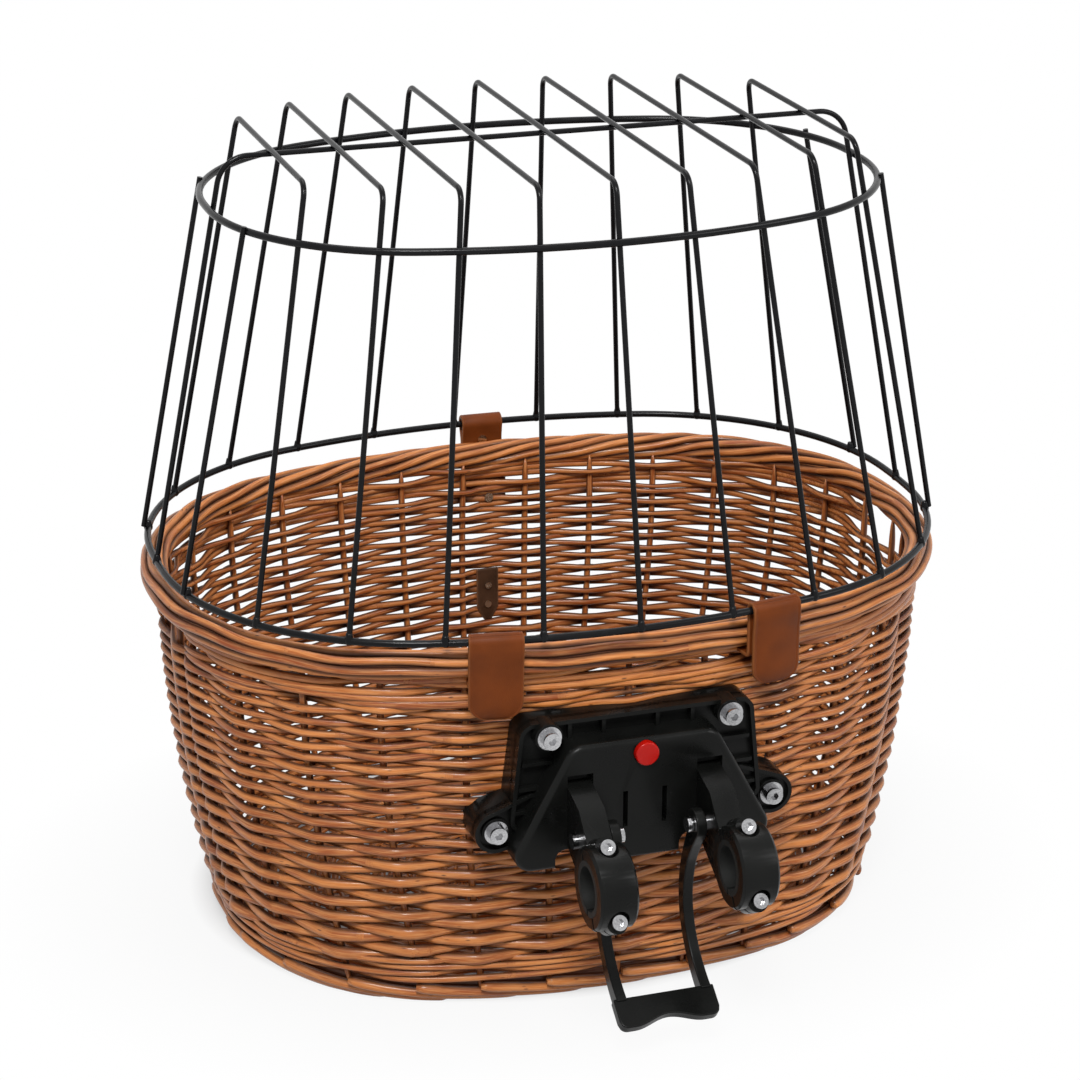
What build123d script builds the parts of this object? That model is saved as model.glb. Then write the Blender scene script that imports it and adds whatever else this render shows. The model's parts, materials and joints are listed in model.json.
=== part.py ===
from build123d import *
from math import atan2, cos, degrees, hypot, radians, sin, sqrt
import os

# Willow dog basket that clips to a bicycle's handlebar, with a hinged wire cage as its lid.
# Millimetres. +X runs along the handlebar to the right, +Y from the handlebar to the basket,
# +Z up. The origin is the middle of the handlebar's axis, between the two clamps.

os.makedirs("parts", exist_ok=True)
overrun = 40.0

# Where the basket stands from the handlebar
bar_to_basket = 242.0
bar_height = 120.0

# Ovals: each is drawn with a side, an end and a corner radius, as shares of its half sizes
side_radius_share = 2.0
end_radius_share = 2.5
corner_radius_share = 0.87

# Wicker basket
wall_half_length = 232.0
wall_half_width = 165.0
wall_thickness = 6.0
wall_top = 217.0
foot_inset_length = 27.0
foot_inset_width = 11.0
foot_height = 14.0
foot_width = 12.0
foot_rounding = 5.0
base_thickness = 8.0
base_lift = 5.0
weave_in = 1.0
border_rise = 8.5
border_half_width = 8.5
border_half_height = 8.3
border_outset = 1.0
wall_profile_shares = [(0, 1), (0.3, 0.52), (0.67, 0.11), (1, 0)]
handle_width = 58.0
handle_height = 20.0
handle_centre = -8.0
handle_rounding = 6.0
handle_stake_place = -18.0
handle_stake_radius = 2.6

# Wire cage
ring_height = 242.0
ring_half_length = 235.0
ring_half_width = 179.0
ring_wire = 2.1
hoop_wire = 1.6
weld_depth = 0.3
foot_sink = 0.9
top_ring_half_length = 197.8
top_ring_half_width = 138.4
top_ring_rise = 209.7
hoop_rise = 240.6
hoop_bend = 9.0
ridge_bend = 18.0
hoop_foot_places = [0.0, 55.6, 109.1, 158.4, 201.4]
hoop_top_places = [0.0, 42.7, 84.3, 124.0, 160.7]
end_wire_place = 56.0
end_wire_stub = 3.0

# Leather straps
strap_width = 30.0
strap_thickness = 2.4
strap_gap = 0.4
strap_place = 82.0
back_strap_width = 27.0
back_strap_place = 18.0
back_strap_gap = 1.3
wrap_start = 200.0
wrap_end = 70.0
tongue_start = 64.0
tongue_fall = -5.0
tongue_drop = 47.0
tongue_corner = 10.0
tongue_spread = 1.0
tongue_lean = 0.8
strap_slot_height = 3.4
strap_slot_drop = 28.6
strap_tail = 16.0
back_wrap_start = 195.0
back_wrap_end = -10.0
back_strap_drop = 49.4
snap_drop = 17.0
snap_radius = 4.5
snap_base = 0.5
snap_stud_radius = 1.6
snap_stud = 1.2
snap_socket_hole = 2.0
snap_socket = 0.6
strap_rivet_radius = 1.5
strap_rivet_head = 3.0
strap_rivet_rise = 0.9
tail_rivet_drop = 38.6
leaf_rivet_drop = 10.5

# Leather tab for a lead, inside the back wall
tab_place = 15.5
tab_height = 129.0
tab_width = 15.0
tab_length = 36.0
tab_point = 9.0
tab_thickness = 2.0
tab_rivet_spacing = 13.5
tab_rivet_radius = 1.2
tab_rivet_head = 2.2

# Plate on the basket's front
plate_front = 172.0
plate_skin = 3.0
plate_wall = 2.5
plate_lip = 5.0
plate_rib = 2.2
plate_top = 191.0
plate_corner = 9.0
plate_corner_place = 61.0
plate_bottom = 108.0
plate_bottom_place = 64.0
ear_radius = 14.0
ear_lift = 2.5
top_bolt_place = 54.0
top_bolt_height = 184.0
top_boss_radius = 8.0
top_boss_lift = 9.0
low_bolt_place = 83.0
low_bolt_height = 127.0
plate_rib_places = [-40.0, -20.0, 12.0, 33.0]
side_rib_heights = [166.0, 151.0, 137.0]

# Bolts, washers, backing strips and nuts that hold the plate
bolt_radius = 2.5
bolt_clearance = 0.2
bolt_head_radius = 5.0
bolt_head = 5.0
bolt_socket_radius = 2.4
bolt_socket_depth = 2.6
washer_radius = 7.0
washer_thickness = 1.2
strip_thickness = 3.0
strip_half_height = 9.0
strip_overhang = 11.0
seat_radius = 5.5
seat_sink = 1.0
nut_radius = 4.6
nut_thickness = 4.0
nut_past = 1.5

# Handlebar adapter
body_front = 190.0
body_shoulder_place = 36.0
body_shoulder_height = 168.0
body_shoulder_radius = 12.0
body_lobe_place = 66.0
body_lobe_height = 116.0
body_lobe_radius = 10.0
body_rounding = 3.5
panel_half_width = 21.0
arch_outer = 53.0
arch_top = 118.0
arch_rounding = 6.0
slot_place = 11.65
slot_width = 2.8
slot_low = 127.0
slot_high = 149.0
slot_depth = 9.0
arm_socket_low = 120.0
arm_socket_high = 163.0
arm_socket_depth = 6.0
arm_fit = 0.05

# Release button, latch and its spring
button_radius = 7.0
button_height = 171.5
button_proud = 3.5
button_travel = 3.0
button_gap = 0.35
button_dome = 1.0
wedge_start = 181.5
wedge_gap = 0.15
latch_half_width = 7.0
latch_depth = 7.0
latch_gap = 0.4
latch_low = 146.0
cavity_low = 128.0
cavity_high = 174.0
tooth_low = 150.0
tooth_high = 157.0
hook_rise = 3.0
hook_depth = 3.0
hook_gap = 0.5
window_gap = 0.6
spring_radius = 3.4
spring_bore = 2.4

# Handlebar clamps
clamp_place = 41.0
clamp_width = 22.0
clamp_radius = 23.5
clamp_tilt = 30.0
clamp_split = 2.0
reducer_radius = 15.9
bar_radius = 12.7
reducer_slit = 2.0
clamp_screw_place = 20.6
clamp_lug_radius = 6.0
clamp_lug_rise = 9.0
clamp_screw_radius = 2.4
clamp_screw_head_radius = 4.3
clamp_screw_head = 5.0
clamp_screw_reach = 11.0
clamp_rounding = 1.5
arm_inner = 31.0
arm_outer = 46.0
arm_root = [(51.5, 0.05), (58.0, 0.05), (58.0, 37.9)]
arm_top_edge = [(32.5, 31.0), (18.5, 17.0), (0.0, 0.0), (12.0, -20.0)]

# Brace that rests on the bicycle's head tube
pivot_y = 36.0
pivot_z = 11.0
pivot_radius = 2.5
pivot_fit = 0.05
pivot_head_radius = 4.5
pivot_head = 3.0
leg_inner = 22.2
leg_outer = 28.3
leg_thickness = 8.0
eye_radius = 9.5
leg_route = [(36.0, 11.0), (46.5, -14.0), (50.5, -42.0), (42.0, -63.0), (24.0, -81.0)]
foot_back = (0.0, 28.0, -78.6)
foot_slope = (0.0, 0.565, -0.825)
foot_length = 25.5
foot_half_width = 31.5
foot_thickness = 6.5
foot_corner = 7.0
foot_swell = 12.0
foot_hollow_radius = 34.0
foot_hollow_depth = 6.0
side_play = 0.3

# Frames of reference: the floor under the basket's centre, and its front and side views
FLOOR = Plane((0, bar_to_basket, -bar_height))
FRONT = Plane(FLOOR.origin, x_dir=(1, 0, 0), z_dir=(0, -1, 0))
SIDE = Plane(FLOOR.origin, x_dir=(0, 1, 0), z_dir=(1, 0, 0))
BAR = Plane.YZ
top_bolts = [(-top_bolt_place, top_bolt_height), (top_bolt_place, top_bolt_height)]
low_bolts = [(-low_bolt_place, low_bolt_height), (low_bolt_place, low_bolt_height)]


def finish(piece, label):
    """Name a finished piece and write it out."""
    piece.part.label = label
    export_step(piece.part, "parts/" + label + ".step")


def oval_shape(half_length, half_width):
    """Radii and centres of an oval's arcs; the corner arc touches the side and end arcs."""
    side = side_radius_share * half_length
    end = end_radius_share * half_width
    corner = corner_radius_share * half_width
    side_centre = half_width - side
    end_centre = half_length - end
    span = hypot(end_centre, side_centre)
    along = ((side - corner) ** 2 - (end - corner) ** 2 + span**2) / (2 * span)
    across = sqrt((side - corner) ** 2 - along**2)
    lean_x = end_centre / span
    lean_y = -side_centre / span
    corner_x = lean_x * along + lean_y * across
    corner_y = side_centre + lean_y * along - lean_x * across
    return side, end, corner, side_centre, end_centre, corner_x, corner_y


def draw_oval(half_length, half_width):
    """Eight touching arcs, from the right end round to the left."""
    side, end, corner, side_centre, end_centre, corner_x, corner_y = oval_shape(half_length, half_width)
    side_turn = degrees(atan2(corner_x, corner_y - side_centre))
    end_turn = degrees(atan2(corner_y, corner_x - end_centre))
    corner_turn = 90 - side_turn - end_turn
    CenterArc((end_centre, 0), end, -end_turn, 2 * end_turn)
    CenterArc((corner_x, corner_y), corner, end_turn, corner_turn)
    CenterArc((0, side_centre), side, 90 - side_turn, 2 * side_turn)
    CenterArc((-corner_x, corner_y), corner, 90 + side_turn, corner_turn)
    CenterArc((-end_centre, 0), end, 180 - end_turn, 2 * end_turn)
    CenterArc((-corner_x, -corner_y), corner, 180 + end_turn, corner_turn)
    CenterArc((0, -side_centre), side, 270 - side_turn, 2 * side_turn)
    CenterArc((corner_x, -corner_y), corner, 270 + side_turn, corner_turn)


def oval_y(x, half_length, half_width):
    """Half width of an oval at a distance x along it."""
    side, _, corner, side_centre, _, corner_x, corner_y = oval_shape(half_length, half_width)
    junction = corner_x * side / (side - corner)
    if abs(x) < junction:
        return side_centre + sqrt(side**2 - x**2)
    return corner_y + sqrt(corner**2 - (abs(x) - corner_x) ** 2)


def oval_x(y, half_length, half_width):
    """Half length of an oval at a distance y across it, on its end arc."""
    _, end, _, _, end_centre, _, _ = oval_shape(half_length, half_width)
    return end_centre + sqrt(end**2 - y**2)


def wall_oval(height):
    """Half length and half width of the wall's outside at a height above the floor."""
    share = (height - foot_height) / (wall_top - foot_height)
    inset = 0
    for (low, low_inset), (high, high_inset) in zip(wall_profile_shares, wall_profile_shares[1:]):
        if low <= share <= high:
            inset = low_inset + (high_inset - low_inset) * (share - low) / (high - low)
    return wall_half_length - foot_inset_length * inset, wall_half_width - foot_inset_width * inset


# Wicker wall: the outer form, used again to seat what bolts to it, then the hollowed wall
with BuildPart() as wall_form:
    for height_share, inset_share in wall_profile_shares:
        level = foot_height - weave_in + (wall_top - foot_height + weave_in) * height_share
        with BuildSketch(FLOOR.offset(level)):
            with BuildLine():
                draw_oval(
                    wall_half_length - foot_inset_length * inset_share,
                    wall_half_width - foot_inset_width * inset_share,
                )
            make_face()
    loft()

with BuildPart() as wall_hollow:
    for height_share, inset_share in wall_profile_shares:
        level = foot_height - weave_in + (wall_top - foot_height + weave_in) * height_share
        with BuildSketch(FLOOR.offset(level)):
            with BuildLine():
                draw_oval(
                    wall_half_length - wall_thickness - foot_inset_length * inset_share,
                    wall_half_width - wall_thickness - foot_inset_width * inset_share,
                )
            make_face()
    loft()


def strap_plane(place, back=False):
    """Plane across the cage's bottom ring: x runs outward from the wire's centre, y up."""
    side, _, _, side_centre, _, _, _ = oval_shape(ring_half_length, ring_half_width)
    facing = 1 if back else -1
    out_x = place / side
    out_y = facing * sqrt(1 - out_x**2)
    centre_y = facing * (side_centre + sqrt(side**2 - place**2))
    origin = FLOOR.from_local_coords(Vector(place, centre_y, ring_height))
    return Plane(origin, x_dir=(out_x, out_y, 0), z_dir=(out_y, -out_x, 0))


with BuildPart() as wicker_wall:
    add(wall_form.part)
    add(wall_hollow.part, mode=Mode.SUBTRACT)
    with BuildSketch(SIDE):
        with Locations((handle_centre, wall_top)):
            RectangleRounded(handle_width, 2 * handle_height, handle_rounding)
    extrude(amount=wall_half_length + overrun, both=True, mode=Mode.SUBTRACT)
    for end in (-1, 1):
        stake_x = end * (oval_x(handle_stake_place, wall_half_length, wall_half_width) - wall_thickness / 2)
        with BuildSketch(FLOOR.offset(wall_top - handle_height - weave_in)):
            with Locations((stake_x, handle_stake_place)):
                Circle(handle_stake_radius)
        extrude(amount=handle_height + 2 * weave_in)
    for place in (-strap_place, strap_place):
        with BuildSketch(strap_plane(place)):
            with Locations((0, -strap_slot_drop)):
                Rectangle(2 * overrun, strap_slot_height)
        extrude(amount=strap_width / 2 + strap_gap, both=True, mode=Mode.SUBTRACT)
    with BuildSketch(FRONT):
        with Locations(*top_bolts, *low_bolts):
            Circle(bolt_radius + bolt_clearance)
    extrude(amount=wall_half_width + overrun, mode=Mode.SUBTRACT)
finish(wicker_wall, "wicker_wall")

foot_out_length = wall_half_length - foot_inset_length
foot_out_width = wall_half_width - foot_inset_width
with BuildPart() as foot_border:
    with BuildSketch(FLOOR):
        with BuildLine():
            draw_oval(foot_out_length, foot_out_width)
        make_face()
        with BuildLine():
            draw_oval(foot_out_length - foot_width, foot_out_width - foot_width)
        make_face(mode=Mode.SUBTRACT)
    extrude(amount=foot_height)
    fillet(foot_border.faces().sort_by(Axis.Z)[0].outer_wire().edges(), foot_rounding)
finish(foot_border, "foot_border")

with BuildPart() as wicker_base:
    with BuildSketch(FLOOR.offset(base_lift)):
        with BuildLine():
            draw_oval(
                foot_out_length - foot_width + weave_in,
                foot_out_width - foot_width + weave_in,
            )
        make_face()
    extrude(amount=base_thickness)
finish(wicker_base, "wicker_base")

border_length = wall_half_length + border_outset
border_width = wall_half_width + border_outset
with BuildPart() as rim_border:
    with BuildLine(FLOOR.offset(wall_top + border_rise - weave_in)) as border_route:
        draw_oval(border_length, border_width)
    route = border_route.wire()
    with BuildSketch(Plane(route @ 0, x_dir=(0, 0, 1), z_dir=route % 0)):
        Ellipse(border_half_height, border_half_width)
    sweep(path=route)
finish(rim_border, "rim_border")


# Wire cage: two rings, cross hoops, a lengthwise hoop and short wires at the ends
def wire_end(route, radius):
    """The round section of a wire, square to the start of its route."""
    with BuildSketch(Plane(route @ 0, z_dir=route % 0)) as section:
        Circle(radius)
    return section.sketch


for label, half_length, half_width, rise in (
    ("cage_bottom_ring", ring_half_length, ring_half_width, 0),
    ("cage_top_ring", top_ring_half_length, top_ring_half_width, top_ring_rise),
):
    with BuildPart() as ring:
        with BuildLine(FLOOR.offset(ring_height + rise)) as ring_route:
            draw_oval(half_length, half_width)
        route = ring_route.wire()
        sweep(wire_end(route, ring_wire), path=route)
    finish(ring, label)

foot_rise = ring_wire - foot_sink
ring_reach = (top_ring_rise - foot_rise) / (hoop_rise - foot_rise)
wire_spacing = ring_wire + hoop_wire - weld_depth


def corner_from_ring(foot, at_ring):
    """Where a straight leg from its foot, touching the top ring's inside, reaches the top."""
    return foot + (at_ring - foot) / ring_reach


for number in range(-4, 5):
    hand = -1 if number < 0 else 1
    foot_x = hand * hoop_foot_places[abs(number)]
    top_x = hand * hoop_top_places[abs(number)]
    at_ring_x = foot_x + (top_x - foot_x) * ring_reach
    foot_y = oval_y(foot_x, ring_half_length, ring_half_width)
    at_ring_y = oval_y(at_ring_x, top_ring_half_length, top_ring_half_width) - wire_spacing
    corner_y = corner_from_ring(foot_y, at_ring_y)
    lean = Vector(top_x - foot_x, 0, hoop_rise - foot_rise)
    start = FLOOR.from_local_coords(Vector(foot_x, 0, ring_height + foot_rise))
    plane = Plane(start, x_dir=(0, 1, 0), z_dir=Vector(0, 1, 0).cross(lean))
    height = lean.length
    with BuildPart() as hoop:
        with BuildLine(plane) as hoop_route:
            FilletPolyline(
                (-foot_y, 0), (-corner_y, height), (corner_y, height), (foot_y, 0), radius=hoop_bend
            )
        route = hoop_route.wire()
        sweep(wire_end(route, hoop_wire), path=route)
    finish(hoop, "cross_hoop_" + str(number + 5))

ridge_rise = hoop_rise - 2 * hoop_wire + weld_depth
ridge_corner = corner_from_ring(ring_half_length, top_ring_half_length - wire_spacing)
with BuildPart() as ridge_hoop:
    with BuildLine(FRONT) as ridge_route:
        FilletPolyline(
            (-ring_half_length, ring_height + foot_rise),
            (-ridge_corner, ring_height + ridge_rise),
            (ridge_corner, ring_height + ridge_rise),
            (ring_half_length, ring_height + foot_rise),
            radius=ridge_bend,
        )
    route = ridge_route.wire()
    sweep(wire_end(route, hoop_wire), path=route)
finish(ridge_hoop, "ridge_hoop")

end_wire_reach = (top_ring_rise + end_wire_stub - foot_rise) / (top_ring_rise - foot_rise)
for label, hand in (("left_end_wires", -1), ("right_end_wires", 1)):
    foot_x = oval_x(end_wire_place, ring_half_length, ring_half_width)
    ring_x = oval_x(end_wire_place, top_ring_half_length, top_ring_half_width) - wire_spacing
    tip_x = foot_x + (ring_x - foot_x) * end_wire_reach
    with BuildPart() as end_wires:
        for place in (-end_wire_place, end_wire_place):
            low = FLOOR.from_local_coords(Vector(hand * foot_x, place, ring_height + foot_rise))
            high = FLOOR.from_local_coords(Vector(hand * tip_x, place, ring_height + top_ring_rise + end_wire_stub))
            with BuildLine() as end_route:
                Line(low, high)
            route = end_route.wire()
            sweep(wire_end(route, hoop_wire), path=route)
    finish(end_wires, label)


# Leather straps
def strap_places(place):
    """Offsets along a strap's plane of the border's outside and the wall's two faces."""
    ring_y = oval_y(place, ring_half_length, ring_half_width)
    border_out = oval_y(place, border_length, border_width) + border_half_width - ring_y
    wall_out = oval_y(place, wall_half_length, wall_half_width) - ring_y
    return border_out, wall_out, wall_out - wall_thickness


def wrap_points(radius, angle):
    """Point on the wrap round the ring's wire, at an angle from straight outward."""
    return radius * cos(radians(angle)), radius * sin(radians(angle))


wrap_radius = ring_wire + strap_gap + strap_thickness / 2
border_top = wall_top + border_rise + border_half_height - weave_in - ring_height
socket_rise = snap_base + snap_stud - snap_socket / 2
for label, place in (("left", -strap_place), ("right", strap_place)):
    border_out, wall_out, wall_in = strap_places(place)
    layer_u = border_out + strap_gap + strap_thickness / 2
    tail_u = wall_in - strap_gap - strap_thickness / 2
    across = strap_plane(place)
    with BuildPart() as strap:
        with BuildSketch(across):
            with BuildLine():
                FilletPolyline(
                    (tail_u, -strap_slot_drop - strap_tail),
                    (tail_u, -strap_slot_drop),
                    (layer_u, -strap_slot_drop),
                    (layer_u, border_top),
                    wrap_points(wrap_radius, wrap_start),
                    radius=strap_thickness,
                )
                CenterArc((0, 0), wrap_radius, wrap_start, wrap_end - wrap_start)
            trace(line_width=strap_thickness)
        extrude(amount=strap_width / 2, both=True)
    finish(strap, label + "_front_strap")

    with BuildPart() as tongue:
        with BuildSketch(across):
            with BuildLine():
                CenterArc((0, 0), wrap_radius, tongue_start, tongue_fall - tongue_start)
                Spline(
                    wrap_points(wrap_radius, tongue_fall),
                    (layer_u + strap_thickness + socket_rise + snap_socket, -snap_drop),
                    (layer_u + strap_thickness - tongue_lean, -tongue_drop),
                )
            trace(line_width=strap_thickness)
        extrude(amount=strap_width / 2, both=True)
        with BuildSketch(Plane(across.origin, x_dir=across.z_dir, z_dir=-across.x_dir)):
            with Locations((0, tongue_corner - tongue_drop / 2)):
                RectangleRounded(strap_width + tongue_spread, tongue_drop + 2 * tongue_corner, tongue_corner)
        extrude(amount=overrun, both=True, mode=Mode.INTERSECT)
    finish(tongue, label + "_strap_tongue")

    # Snap under the tongue: a stud on the strap's inner layer, a socket on the tongue
    layer_face = layer_u + strap_thickness / 2
    snap = Plane(
        across.from_local_coords(Vector(layer_face, -snap_drop, 0)),
        x_dir=across.z_dir,
        z_dir=across.x_dir,
    )
    with BuildPart() as stud:
        with BuildSketch(snap):
            Circle(snap_radius)
        extrude(amount=snap_base)
        with BuildSketch(snap.offset(snap_base)):
            Circle(snap_stud_radius)
        extrude(amount=snap_stud)
    finish(stud, label + "_snap_stud")
    with BuildPart() as socket:
        with BuildSketch(snap.offset(socket_rise)):
            Circle(snap_radius)
            Circle(snap_socket_hole, mode=Mode.SUBTRACT)
        extrude(amount=snap_socket)
    finish(socket, label + "_snap_socket")

# The back strap is the cage's hinge: its loop holds the bottom ring's wire
HINGE = strap_plane(back_strap_place, back=True)
border_out, wall_out, wall_in = strap_places(back_strap_place)
loop_radius = ring_wire + back_strap_gap + strap_thickness / 2
layer_u = border_out + strap_gap + strap_thickness / 2
leaf_u = layer_u + strap_thickness + strap_gap
wall_u = wall_out + strap_gap + strap_thickness / 2
with BuildPart() as back_strap:
    with BuildSketch(HINGE):
        with BuildLine():
            FilletPolyline(
                (wall_u, -back_strap_drop),
                (wall_u, -strap_slot_drop - strap_thickness),
                (layer_u, -strap_slot_drop + strap_thickness),
                (layer_u, border_top),
                wrap_points(loop_radius, back_wrap_start),
                radius=strap_thickness,
            )
            CenterArc((0, 0), loop_radius, back_wrap_start, back_wrap_end - back_wrap_start)
            FilletPolyline(
                wrap_points(loop_radius, back_wrap_end),
                (leaf_u, border_top - strap_thickness),
                (leaf_u, -snap_drop),
                radius=strap_thickness,
            )
        trace(line_width=strap_thickness)
    extrude(amount=back_strap_width / 2, both=True)
finish(back_strap, "back_strap")

# Leather tab for a lead, on the inside of the back wall
tab_face = FRONT.offset(wall_thickness + tab_thickness - wall_oval(tab_height)[1])
tab_low = tab_height - tab_length / 2
tab_side = tab_width / 2
with BuildPart() as lead_tab:
    with BuildSketch(tab_face):
        with BuildLine():
            Polyline(
                (tab_place - tab_side, tab_low + tab_length),
                (tab_place + tab_side, tab_low + tab_length),
                (tab_place + tab_side, tab_low + tab_point),
                (tab_place, tab_low),
                (tab_place - tab_side, tab_low + tab_point),
                close=True,
            )
        make_face()
    extrude(amount=-tab_thickness - wall_thickness / 2)
    add(wall_hollow.part, mode=Mode.INTERSECT)
finish(lead_tab, "lead_tab")


# Rivets: a head on each face and a shank between them
def rivet_face(plane, out, up):
    """Plane of a rivet's outer head on a strap, facing outward."""
    return Plane(plane.from_local_coords(Vector(out, up, 0)), x_dir=plane.z_dir, z_dir=plane.x_dir)


tail_rivets = []
for place in (-strap_place, strap_place):
    tail_wall_out = strap_places(place)[1]
    tail_rivets.append(rivet_face(strap_plane(place), tail_wall_out, -tail_rivet_drop))
tab_rivets = []
for rise in (-tab_rivet_spacing / 2, tab_rivet_spacing / 2):
    tab_rivets.append(
        Plane(tab_face.from_local_coords(Vector(tab_place, tab_height + rise, 0)), x_dir=tab_face.x_dir, z_dir=tab_face.z_dir)
    )
wall_and_strap = wall_thickness + strap_gap + strap_thickness + strap_rivet_rise
for label, faces, reach, head, shank in (
    ("front_strap_rivets", tail_rivets, wall_and_strap, strap_rivet_head, strap_rivet_radius),
    (
        "back_strap_wall_rivet",
        [rivet_face(HINGE, wall_u + strap_thickness / 2, strap_rivet_head + strap_rivet_rise - back_strap_drop)],
        wall_and_strap,
        strap_rivet_head,
        strap_rivet_radius,
    ),
    (
        "back_strap_loop_rivet",
        [rivet_face(HINGE, leaf_u + strap_thickness, -leaf_rivet_drop)],
        3 * strap_thickness,
        strap_rivet_head,
        strap_rivet_radius,
    ),
    (
        "lead_tab_rivets",
        tab_rivets,
        tab_thickness + wall_thickness + strap_rivet_rise,
        tab_rivet_head,
        tab_rivet_radius,
    ),
):
    with BuildPart() as rivets:
        for face in faces:
            with BuildSketch(face, face.offset(-reach)):
                Circle(head)
            extrude(amount=strap_rivet_rise)
            with BuildSketch(face):
                Circle(shank)
            extrude(amount=-reach)
    finish(rivets, label)


# Plate on the basket's front: hollow behind, with its rim and bosses seated on the wicker
def plate_outline(plane, inset, with_ears=True):
    """The plate's outline: rounded corners and a round ear at each low bolt."""
    with BuildSketch(plane) as outline:
        with Locations(
            (-plate_corner_place, plate_top - plate_corner),
            (plate_corner_place, plate_top - plate_corner),
            (-plate_bottom_place, plate_bottom + plate_corner),
            (plate_bottom_place, plate_bottom + plate_corner),
        ):
            Circle(plate_corner - inset)
        make_hull()
        if with_ears:
            with Locations(*low_bolts):
                Circle(ear_radius - inset)
    return outline.sketch


def body_outline(plane, play):
    """The adapter's outline: round shoulders above and round lobes below, joined by straight sides."""
    with BuildSketch(plane) as outline:
        with Locations(
            (-body_shoulder_place, body_shoulder_height), (body_shoulder_place, body_shoulder_height)
        ):
            Circle(body_shoulder_radius + play)
        with Locations((-body_lobe_place, body_lobe_height), (body_lobe_place, body_lobe_height)):
            Circle(body_lobe_radius + play)
        make_hull()
    return outline.sketch


skin_face = FRONT.offset(plate_front)
body_top = body_shoulder_height + body_shoulder_radius
rib_length = plate_top - body_top
with BuildPart() as plate_relief:
    extrude(plate_outline(skin_face, 0, with_ears=False), amount=plate_lip)
    extrude(plate_outline(skin_face, plate_wall, with_ears=False), amount=plate_lip, mode=Mode.SUBTRACT)
    with BuildSketch(skin_face):
        with Locations(*[(place, plate_top - plate_wall - rib_length / 2) for place in plate_rib_places]):
            Rectangle(plate_rib, rib_length)
        for hand in (-1, 1):
            with Locations(*[(hand * plate_corner_place, level) for level in side_rib_heights]):
                Rectangle(2 * plate_corner, plate_rib)
    extrude(amount=plate_lip - side_play)
    for bolts, radius, lift in ((top_bolts, top_boss_radius, top_boss_lift), (low_bolts, ear_radius, ear_lift)):
        with BuildSketch(skin_face):
            with Locations(*bolts):
                Circle(radius)
        extrude(amount=lift)
    extrude(body_outline(skin_face.offset(-plate_skin), side_play), amount=overrun, mode=Mode.SUBTRACT)

with BuildPart() as basket_plate:
    extrude(plate_outline(skin_face, 0), amount=plate_skin - overrun)
    extrude(plate_outline(skin_face.offset(-plate_skin), plate_wall), amount=-overrun, mode=Mode.SUBTRACT)
    add(plate_relief.part)
    with BuildSketch(skin_face.offset(-plate_skin)):
        with Locations(*top_bolts, *low_bolts):
            Circle(top_boss_radius)
    extrude(amount=-overrun)
    add(wall_form.part, mode=Mode.SUBTRACT)
    with BuildSketch(FRONT):
        with Locations(*top_bolts, *low_bolts):
            Circle(bolt_radius + bolt_clearance)
    extrude(amount=plate_front + overrun, mode=Mode.SUBTRACT)
    with BuildSketch(skin_face):
        with Locations((0, (tooth_low + tooth_high - button_travel) / 2)):
            Rectangle(2 * (latch_half_width + window_gap), tooth_high - tooth_low + button_travel + 2 * window_gap)
    extrude(amount=-plate_skin, mode=Mode.SUBTRACT)
finish(basket_plate, "basket_plate")


# Bolts with their washers in front, and strips and nuts inside the basket
def nut_seat(place, level):
    """How far in front of the basket's centre a nut's flat seat on the backing strip lies."""
    half_length, half_width = wall_oval(level)
    lining = wall_thickness + strip_thickness
    return oval_y(place, half_length - lining, half_width - lining) + seat_sink


bolt_rows = (
    (top_bolts, plate_front + top_boss_lift, nut_seat(*top_bolts[1])),
    (low_bolts, plate_front + ear_lift, nut_seat(*low_bolts[1])),
)
with BuildPart() as plate_washers:
    for bolts, front_seat, back_seat in bolt_rows:
        with BuildSketch(FRONT.offset(front_seat)):
            with Locations(*bolts):
                Circle(washer_radius)
                Circle(bolt_radius + bolt_clearance, mode=Mode.SUBTRACT)
        extrude(amount=washer_thickness)
finish(plate_washers, "plate_washers")

with BuildPart() as plate_bolts:
    for bolts, front_seat, back_seat in bolt_rows:
        head_seat = FRONT.offset(front_seat + washer_thickness)
        with BuildSketch(head_seat):
            with Locations(*bolts):
                Circle(bolt_head_radius)
        extrude(amount=bolt_head)
        with BuildSketch(head_seat.offset(bolt_head)):
            with Locations(*bolts):
                RegularPolygon(bolt_socket_radius, 6)
        extrude(amount=-bolt_socket_depth, mode=Mode.SUBTRACT)
        with BuildSketch(head_seat):
            with Locations(*bolts):
                Circle(bolt_radius)
        extrude(amount=back_seat - nut_thickness - nut_past - front_seat - washer_thickness)
finish(plate_bolts, "plate_bolts")

for label, (bolts, front_seat, back_seat) in zip(("top", "low"), bolt_rows):
    place, level = bolts[1]
    half_length, half_width = wall_oval(level)
    lining = wall_thickness + strip_thickness
    with BuildPart() as strip:
        with BuildSketch(FLOOR.offset(level - strip_half_height)):
            with BuildLine():
                draw_oval(half_length, half_width)
            make_face()
            with BuildLine():
                draw_oval(half_length - lining, half_width - lining)
            make_face(mode=Mode.SUBTRACT)
        extrude(amount=2 * strip_half_height)
        with BuildSketch(FRONT):
            with Locations((0, level)):
                SlotOverall(2 * (place + strip_overhang), 2 * strip_half_height)
        extrude(amount=wall_half_width, mode=Mode.INTERSECT)
        add(wall_hollow.part, mode=Mode.INTERSECT)
        with BuildSketch(FRONT):
            with Locations(*bolts):
                Circle(seat_radius)
        extrude(amount=back_seat, mode=Mode.SUBTRACT)
        with BuildSketch(FRONT):
            with Locations(*bolts):
                Circle(bolt_radius + bolt_clearance)
        extrude(amount=wall_half_width, mode=Mode.SUBTRACT)
    finish(strip, label + "_backing_strip")

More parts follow.
